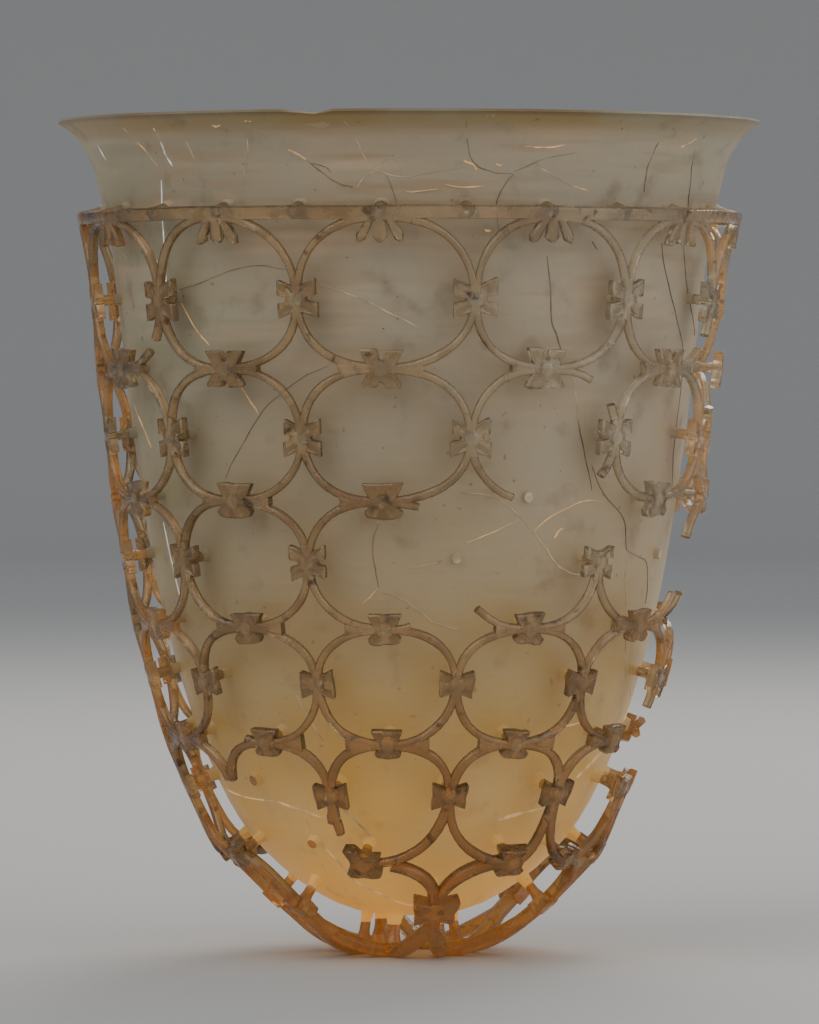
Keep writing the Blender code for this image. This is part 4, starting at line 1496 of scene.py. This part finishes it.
@dataclass(frozen=True)
class BeakerGlass:
    """Weathered, cloudy glass: grey-beige at the lip, amber towards the foot, brightened there as a painted
    glow.
    """

    height: float
    transmission: float = 0.16
    ior: float = 1.48
    glow: float = 0.36
    roughness: Pair = (0.44, 0.12)

    # Colour and painted glow from foot to lip, the colour brightest amber at the foot, partly the glass's own
    # tint and partly a painted glow, and how far the colour drifts up and down
    body: tuple[tuple[float, Colour], ...] = (
        (0.0, (0.98, 0.62, 0.15)), (0.22, (0.50, 0.36, 0.12)), (0.48, (0.38, 0.325, 0.22)),
        (0.95, (0.57, 0.45, 0.30)))
    painted_glow_ramp: tuple[tuple[float, Colour], ...] = (
        (0.02, (1.0, 0.52, 0.12)), (0.14, (0.62, 0.31, 0.065)), (0.34, (0.26, 0.13, 0.025)),
        (0.60, (0.025, 0.015, 0.005)), (1.0, (0.0, 0.0, 0.0)))
    drift: Grain = Grain(22.0, 2.0)
    drift_reach: float = 0.14

    # The left side in painted shade, the right side paler as painted light, and the rim that turns away made
    # paler as a painted sheen
    low_left_shade: Colour = (0.42, 0.25, 0.07)
    left: Tint = Tint(0.18, 0.50, 1.0, (0.30, 0.295, 0.18))
    left_shade_span: Pair = (0.015, 0.075)
    left_shade_strength: float = 0.60
    left_shade: Tint = Tint(0.005, 0.055, 0.50, (0.0, 0.0, 0.0))
    right: Tint = Tint(0.0, 0.075, 0.60, (0.70, 0.56, 0.40))
    lit_right_levels: Pair = (0.30, 0.60)
    facing_blend: float = 0.50
    rim: Tint = Tint(0.62, 0.97, 0.55, (0.70, 0.57, 0.36))

    # Weathering: level strokes and blushes on the neck, the stained lip, clouds, patches and specks
    flat: Triple = (0.35, 0.35, 3.0)
    neck_levels: Pair = (0.55, 0.95)
    stroke_grain: Grain = Grain(95.0, 2.0)
    strokes: Tint = Tint(0.50, 0.66, 0.55, (0.46, 0.30, 0.16))
    blush_grain: Grain = Grain(48.0, 2.0)
    blushes: Tint = Tint(0.50, 0.68, 0.55, (0.80, 0.56, 0.36))
    lip: Tint = Tint(0.965, 0.990, 1.0, (0.42, 0.29, 0.12))
    lip_top: Tint = Tint(0.990, 0.999, 0.70, (0.11, 0.075, 0.03))
    cloud_grain: Grain = Grain(60.0, 3.0)
    clouds: Tint = Tint(0.35, 0.72, 0.30, (0.42, 0.41, 0.33))
    patch_grain: Grain = Grain(14.0, 1.0)
    patches: Tint = Tint(0.50, 0.66, 0.35, (0.44, 0.43, 0.30))
    stain_grain: Grain = Grain(120.0, 3.0)
    stains: Tint = Tint(0.56, 0.76, 0.45, (0.24, 0.15, 0.08))
    speck_grain: Grain = Grain(620.0, 1.0)
    specks: Tint = Tint(0.73, 0.80, 0.50, (0.16, 0.10, 0.05))

    # Relief: faint marks of the turning and pits, with the share of each
    squeezed: Triple = (1.0, 1.0, 9.0)
    turning: Grain = Grain(55.0, 1.0)
    pits: Grain = Grain(420.0, 1.0)
    relief_shares: Pair = (0.6, 0.4)
    relief: Pair = (0.40, 0.0006)

    def make(self) -> bpy.types.Material:
        """Make the material.

        Returns:
            The material.
        """
        s = Shader("weathered_beaker_glass")
        across, _, level = s.position(self.height)
        # The amber at the foot is partly the glass's own tint and partly a painted glow of light through it
        colour = s.ramp(level + (s.noise(self.drift) - 0.5) * self.drift_reach, self.body)
        # Painted shade: the left side darker and greener, a darker amber at the foot
        left = s.tint(self.low_left_shade, level, self.left)
        colour = s.mix((-across).clamp(*self.left_shade_span) * self.left_shade_strength, colour, left)
        # Painted light: the right side paler, from the middle up
        colour = s.tint(colour, across, self.right, level.clamp(*self.lit_right_levels))
        # Painted sheen: edges that turn away from the eye made paler
        colour = s.tint(colour, s.facing(self.facing_blend), self.rim)
        neck, flat = level.clamp(*self.neck_levels), s.stretched(self.flat)
        colour = s.tint(colour, s.noise(self.stroke_grain, flat), self.strokes, neck)
        colour = s.tint(colour, s.noise(self.blush_grain, flat), self.blushes, neck)
        colour = s.tint(s.tint(colour, level, self.lip), level, self.lip_top)
        cloud = s.noise(self.cloud_grain)
        colour = s.tint(colour, cloud, self.clouds)
        for grain, tint in ((self.patch_grain, self.patches), (self.stain_grain, self.stains),
                            (self.speck_grain, self.specks)):
            colour = s.tint(colour, s.noise(grain), tint)
        smooth, clouded = self.roughness
        turned_share, pitted_share = self.relief_shares
        relief = (s.noise(self.turning, s.stretched(self.squeezed)) * turned_share
                  + s.noise(self.pits) * pitted_share)
        return s.dress({
            "Base Color": colour,
            # Painted glow, strongest at the foot, with painted shade over it on the left side
            "Emission Color": s.tint(s.ramp(level, self.painted_glow_ramp), -across, self.left_shade),
            "Emission Strength": self.glow,
            "Roughness": smooth + cloud.clamp(self.clouds.low, self.clouds.high) * clouded,
            "Normal": s.relief(relief, *self.relief),
            "Transmission Weight": self.transmission,
            "IOR": self.ior,
        })


@dataclass(frozen=True)
class CageGlass:
    """Clearer ground glass of the bars and knots: pale in the core, with painted dark edges and a painted
    amber glow at the sides.
    """

    name: str
    height: float
    transmission: float = 0.82
    ior: float = 1.48
    glow: float = 0.055
    glow_colour: Colour = (1.0, 0.45, 0.12)

    # Colours of the core, of the edges that turn away in painted shade and of the amber patches of painted
    # glow, high and low, then the core and glow at the upper right in painted light
    core: Colour = (0.76, 0.57, 0.33)
    low_core: Colour = (0.44, 0.26, 0.09)
    rim: Colour = (0.135, 0.086, 0.040)
    warm: Colour = (0.66, 0.40, 0.15)
    low_painted_glow: Colour = (0.52, 0.24, 0.055)
    pale: Colour = (0.86, 0.77, 0.59)
    pale_painted_glow: Colour = (0.82, 0.62, 0.39)

    # Where the glass is low, and where it is made paler at the upper right as painted light
    low_levels: Pair = (0.03, 0.45)
    lit_right_span: Pair = (-0.03, 0.050)
    lit_right_levels: Pair = (0.30, 0.62)
    lit_pale_strength: float = 0.85

    # Amber patches of painted glow at the cage's sides and at the foot
    glow_side_span: Pair = (0.50, 0.98)
    glow_side_grain: Grain = Grain(75.0, 1.0)
    glow_patches: Pair = (0.36, 0.64)
    foot_glow_levels: Pair = (-0.14, -0.02)
    painted_glow_strength: float = 0.80

    # Drift, crust and dirt, and how much less painted dark edge and crust the right side in painted light has
    drift_grain: Grain = Grain(40.0, 1.0)
    drift: Tint = Tint(0.45, 0.75, 0.60, (0.42, 0.24, 0.10))
    facing_blend: float = 0.60
    painted_edge_span: Pair = (0.22, 0.80)
    right_painted_edge: float = 0.30
    crust_grain: Grain = Grain(170.0, 3.0)
    crust: Tint = Tint(0.48, 0.62, 0.50, (0.36, 0.235, 0.11))
    right_crust: float = 0.35
    dirt_grain: Grain = Grain(300.0, 2.0)
    dirt: Tint = Tint(0.62, 0.74, 0.80, (0.05, 0.03, 0.015))

    # Roughness of the clean glass, with what crust and drift add, and relief
    roughness: Triple = (0.10, 0.30, 0.08)
    pits: Grain = Grain(260.0, 2.0)
    relief: Pair = (0.45, 0.0006)

    def make(self) -> bpy.types.Material:
        """Make the material.

        Returns:
            The material.
        """
        s = Shader(self.name)
        across, along, level = s.position(self.height)
        low = 1.0 - level.clamp(*self.low_levels)
        # Painted light: the upper right made paler
        right = across.clamp(*self.lit_right_span) * level.clamp(*self.lit_right_levels)
        drift = s.noise(self.drift_grain)
        core = s.mix(low, self.core, self.low_core)
        core = s.mix(right * self.lit_pale_strength, core, self.pale)
        core = s.tint(core, drift, self.drift)
        # Painted glow: amber patches at the sides and at the foot, in the colour and in the emission
        sideways = across * across / (across * across + along * along)
        warm = sideways.clamp(*self.glow_side_span) * s.noise(self.glow_side_grain).clamp(*self.glow_patches)
        warm = warm + (-level).clamp(*self.foot_glow_levels)
        amber = s.mix(low, s.mix(right, self.warm, self.pale_painted_glow), self.low_painted_glow)
        core = s.mix(warm * self.painted_glow_strength, core, amber)
        # Painted shade: edges that turn away from the eye darkened towards the rim colour, less on the lit
        # right side
        edge = s.facing(self.facing_blend).clamp(*self.painted_edge_span) * (1.0 - right * self.right_painted_edge)
        colour = s.mix(edge, core, self.rim)
        crust = s.noise(self.crust_grain).clamp(self.crust.low, self.crust.high)
        colour = s.mix(crust * (self.crust.strength - right * self.right_crust), colour, self.crust.colour)
        colour = s.tint(colour, s.noise(self.dirt_grain), self.dirt)
        clean, crusted, drifting = self.roughness
        return s.dress({
            "Base Color": colour,
            # The painted glow of the amber patches
            "Emission Color": s.mix(warm, (0.0, 0.0, 0.0), self.glow_colour),
            "Emission Strength": self.glow,
            "Roughness": clean + crust * crusted + drift * drifting,
            "Normal": s.relief(s.noise(self.pits), *self.relief),
            "Transmission Weight": self.transmission,
            "IOR": self.ior,
        })


@dataclass(frozen=True)
class LineGlass:
    """The finish of repair lines, cracks and painted glints of one tone, whose glow is painted light: its
    colour fades here and there.
    """

    name: str
    colour: Colour
    roughness: float
    glow: float
    fade: float = 0.55
    grain: Grain = Grain(260.0, 2.0)
    span: Pair = (0.35, 0.65)

    def make(self) -> bpy.types.Material:
        """Make the material.

        Returns:
            The material.
        """
        s = Shader(self.name)
        faded = tuple(self.fade * part for part in self.colour)
        colour = s.mix(s.noise(self.grain).clamp(*self.span), self.colour, faded)
        return s.dress({"Base Color": colour, "Emission Color": colour, "Emission Strength": self.glow,
                        "Roughness": self.roughness})


def finishes(height: float) -> list[bpy.types.Material]:
    """Make the cup's materials.

    Args:
        height: The cup's height.

    Returns:
        One material for each slot, in the order of Finish.
    """
    glasses = {
        Finish.BEAKER: BeakerGlass(height),
        Finish.CAGE: CageGlass("ground_cage_glass", height),
        # Darker glass in the carved hollows as painted shade
        Finish.HOLLOW: CageGlass(
            "shaded_carved_hollows", height, transmission=0.55, core=(0.36, 0.25, 0.12), rim=(0.18, 0.105, 0.045),
            warm=(0.33, 0.18, 0.06), low_core=(0.27, 0.15, 0.05), low_painted_glow=(0.30, 0.14, 0.035),
            pale=(0.52, 0.44, 0.30), pale_painted_glow=(0.42, 0.26, 0.12)),
        Finish.STRUT: CageGlass(
            "strut_glass", height, transmission=0.65, core=(0.60, 0.48, 0.27), rim=(0.32, 0.20, 0.08),
            warm=(0.62, 0.38, 0.14), low_core=(0.52, 0.31, 0.10), low_painted_glow=(0.60, 0.29, 0.07)),
        # Painted glints along cracks, glowing white and orange
        Finish.GLINT: LineGlass("line_glint", (0.86, 0.93, 0.92), 0.15, 0.45),
        Finish.WARM: LineGlass("line_warm_glint", (0.92, 0.57, 0.26), 0.50, 0.32),
        # Pale repair lines in their own cream colour, with a faint painted glow
        Finish.PALE: LineGlass("line_pale", (0.64, 0.50, 0.32), 0.50, 0.12),
        Finish.DARK: LineGlass("line_dark", (0.30, 0.235, 0.15), 0.45, 0.0),
        Finish.SOFT: LineGlass("line_soft", (0.34, 0.265, 0.165), 0.45, 0.0),
    }
    return [glasses[finish].make() for finish in Finish]


@dataclass(frozen=True)
class Lamp:
    """A soft square light that shines at the cup's middle."""

    name: str
    place: Triple
    size: float
    power: float
    colour: Colour
    aim: Triple = (0.0, 0.0, 0.09)

    def light(self) -> None:
        """Hang the lamp, tipped and then turned about Z until it shines at its aim."""
        data = bpy.data.lights.new(self.name, "AREA")
        data.size, data.energy, data.color = self.size, self.power, self.colour
        lamp = bpy.data.objects.new(self.name, data)
        lamp.location = self.place
        x, y, z = np.array(self.aim) - np.array(self.place)
        lamp.rotation_euler = (math.atan2(math.hypot(x, y), -z), 0.0, math.atan2(y, x) - math.pi / 2)
        bpy.context.scene.collection.objects.link(lamp)


@dataclass
class Studio:
    """A pale floor that curves up into a backdrop, soft lights and the camera."""

    camera_distance: float = 1.5
    camera_height: float = 0.1264
    tilt: float = 1.18
    sensor: float = 36.0
    focal_pixels: float = 6930.0
    image_height: float = 1024.0
    floor_rings: Pair = (0.5, 1.2)
    floor_flat: float = 3.2
    floor_turn: float = 0.7
    floor_turn_steps: int = 12
    floor_wall: float = 1.0
    floor_around: int = 96
    floor_colour: Colour = (0.50, 0.50, 0.495)
    floor_roughness: float = 0.8
    room_colour: Colour = (0.85, 0.87, 0.90)
    room_strength: float = 0.49
    lamps: tuple[Lamp, ...] = (
        Lamp("key_light", (-0.9, -0.9, 1.2), 1.6, 12.0, (1.0, 0.97, 0.93)),
        Lamp("fill_light", (1.2, -0.8, 0.7), 1.6, 7.5, (0.94, 0.97, 1.0)),
        Lamp("back_light", (0.3, 1.0, 1.1), 0.8, 10.0, (1.0, 0.95, 0.88)),
    )

    def floor(self) -> None:
        """A wide flat floor that curves up all round, far outside the camera.

        At angle a the outline's point (r, z) lies at (r sin a, -r cos a, z): flat to the turn, then
        a quarter circle, then straight up.
        """
        turn = np.linspace(0.0, math.pi / 2, self.floor_turn_steps)
        reach = np.concatenate((self.floor_rings, self.floor_flat + self.floor_turn * np.sin(turn)))
        rise = np.concatenate(((0.0, 0.0), self.floor_turn * (1.0 - np.cos(turn))))
        reach, rise = np.append(reach, reach[-1]), np.append(rise, self.floor_wall)
        angle = np.linspace(0.0, FULL_TURN, self.floor_around, endpoint=False)[None, :]
        closed = Form.stack(turned(reach[:, None], rise[:, None], angle)[:, ::-1], 0)
        dish = Form.plain(closed.corners[:-1], closed.quads, closed.triangles[:self.floor_around], 0)
        looks = {"Base Color": self.floor_colour, "Roughness": self.floor_roughness}
        dish.to_object("floor", [Shader("pale_floor").dress(looks)])

    def room(self) -> None:
        """Soft light from all round."""
        world = bpy.data.worlds.new("studio")
        world.use_nodes = True
        background = world.node_tree.nodes["Background"].inputs
        background["Color"].default_value = (*self.room_colour, 1.0)
        background["Strength"].default_value = self.room_strength
        bpy.context.scene.world = world

    def camera(self) -> None:
        """The camera, where the photograph was taken from."""
        data = bpy.data.cameras.new("camera")
        data.sensor_width = self.sensor
        data.lens = self.focal_pixels / self.image_height * self.sensor
        camera = bpy.data.objects.new("camera", data)
        camera.location = (0.0, -self.camera_distance, self.camera_height)
        camera.rotation_euler = (math.radians(90.0 - self.tilt), 0.0, 0.0)
        bpy.context.scene.collection.objects.link(camera)
        bpy.context.scene.camera = camera

    def build(self) -> None:
        """Set up floor, lamps, surroundings and camera."""
        self.floor()
        for lamp in self.lamps:
            lamp.light()
        self.room()
        self.camera()


def main() -> None:
    """Build the cup, dress it and set it in the studio."""
    low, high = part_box(NODE)
    outline = Outline(height=high[2] - low[2], rim_radius=(high[0] - low[0]) / 2)
    materials = finishes(outline.height)
    cup = Beaker(outline).build().to_object("cage_cup_glass", materials)
    LOG.info("beaker: %d faces", len(cup.data.polygons))
    parts = [form.to_object(name, materials) for name, form in Cage(outline).build()]
    LOG.info("cage: %d groups of parts", len(parts))
    unite(cup, parts)
    lines = WallLines(outline, View()).build()
    LOG.info("lines in the wall: %d faces", len(lines.quads) + len(lines.triangles))
    join(cup, lines.to_object("wall_lines", materials))
    cup.data.shade_smooth()
    cup.data.set_sharp_from_angle(angle=math.radians(SHARP_ANGLE))
    cup.data.calc_loop_triangles()
    LOG.info("cup: %d triangles", len(cup.data.loop_triangles))
    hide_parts(NODE)
    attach(cup, "root")
    studio = Studio()
    studio.build()
    LOG.info("studio: %d lamps", len(studio.lamps))


if __name__ == "__main__":
    logging.basicConfig(level=logging.INFO, format="%(message)s")
    main()
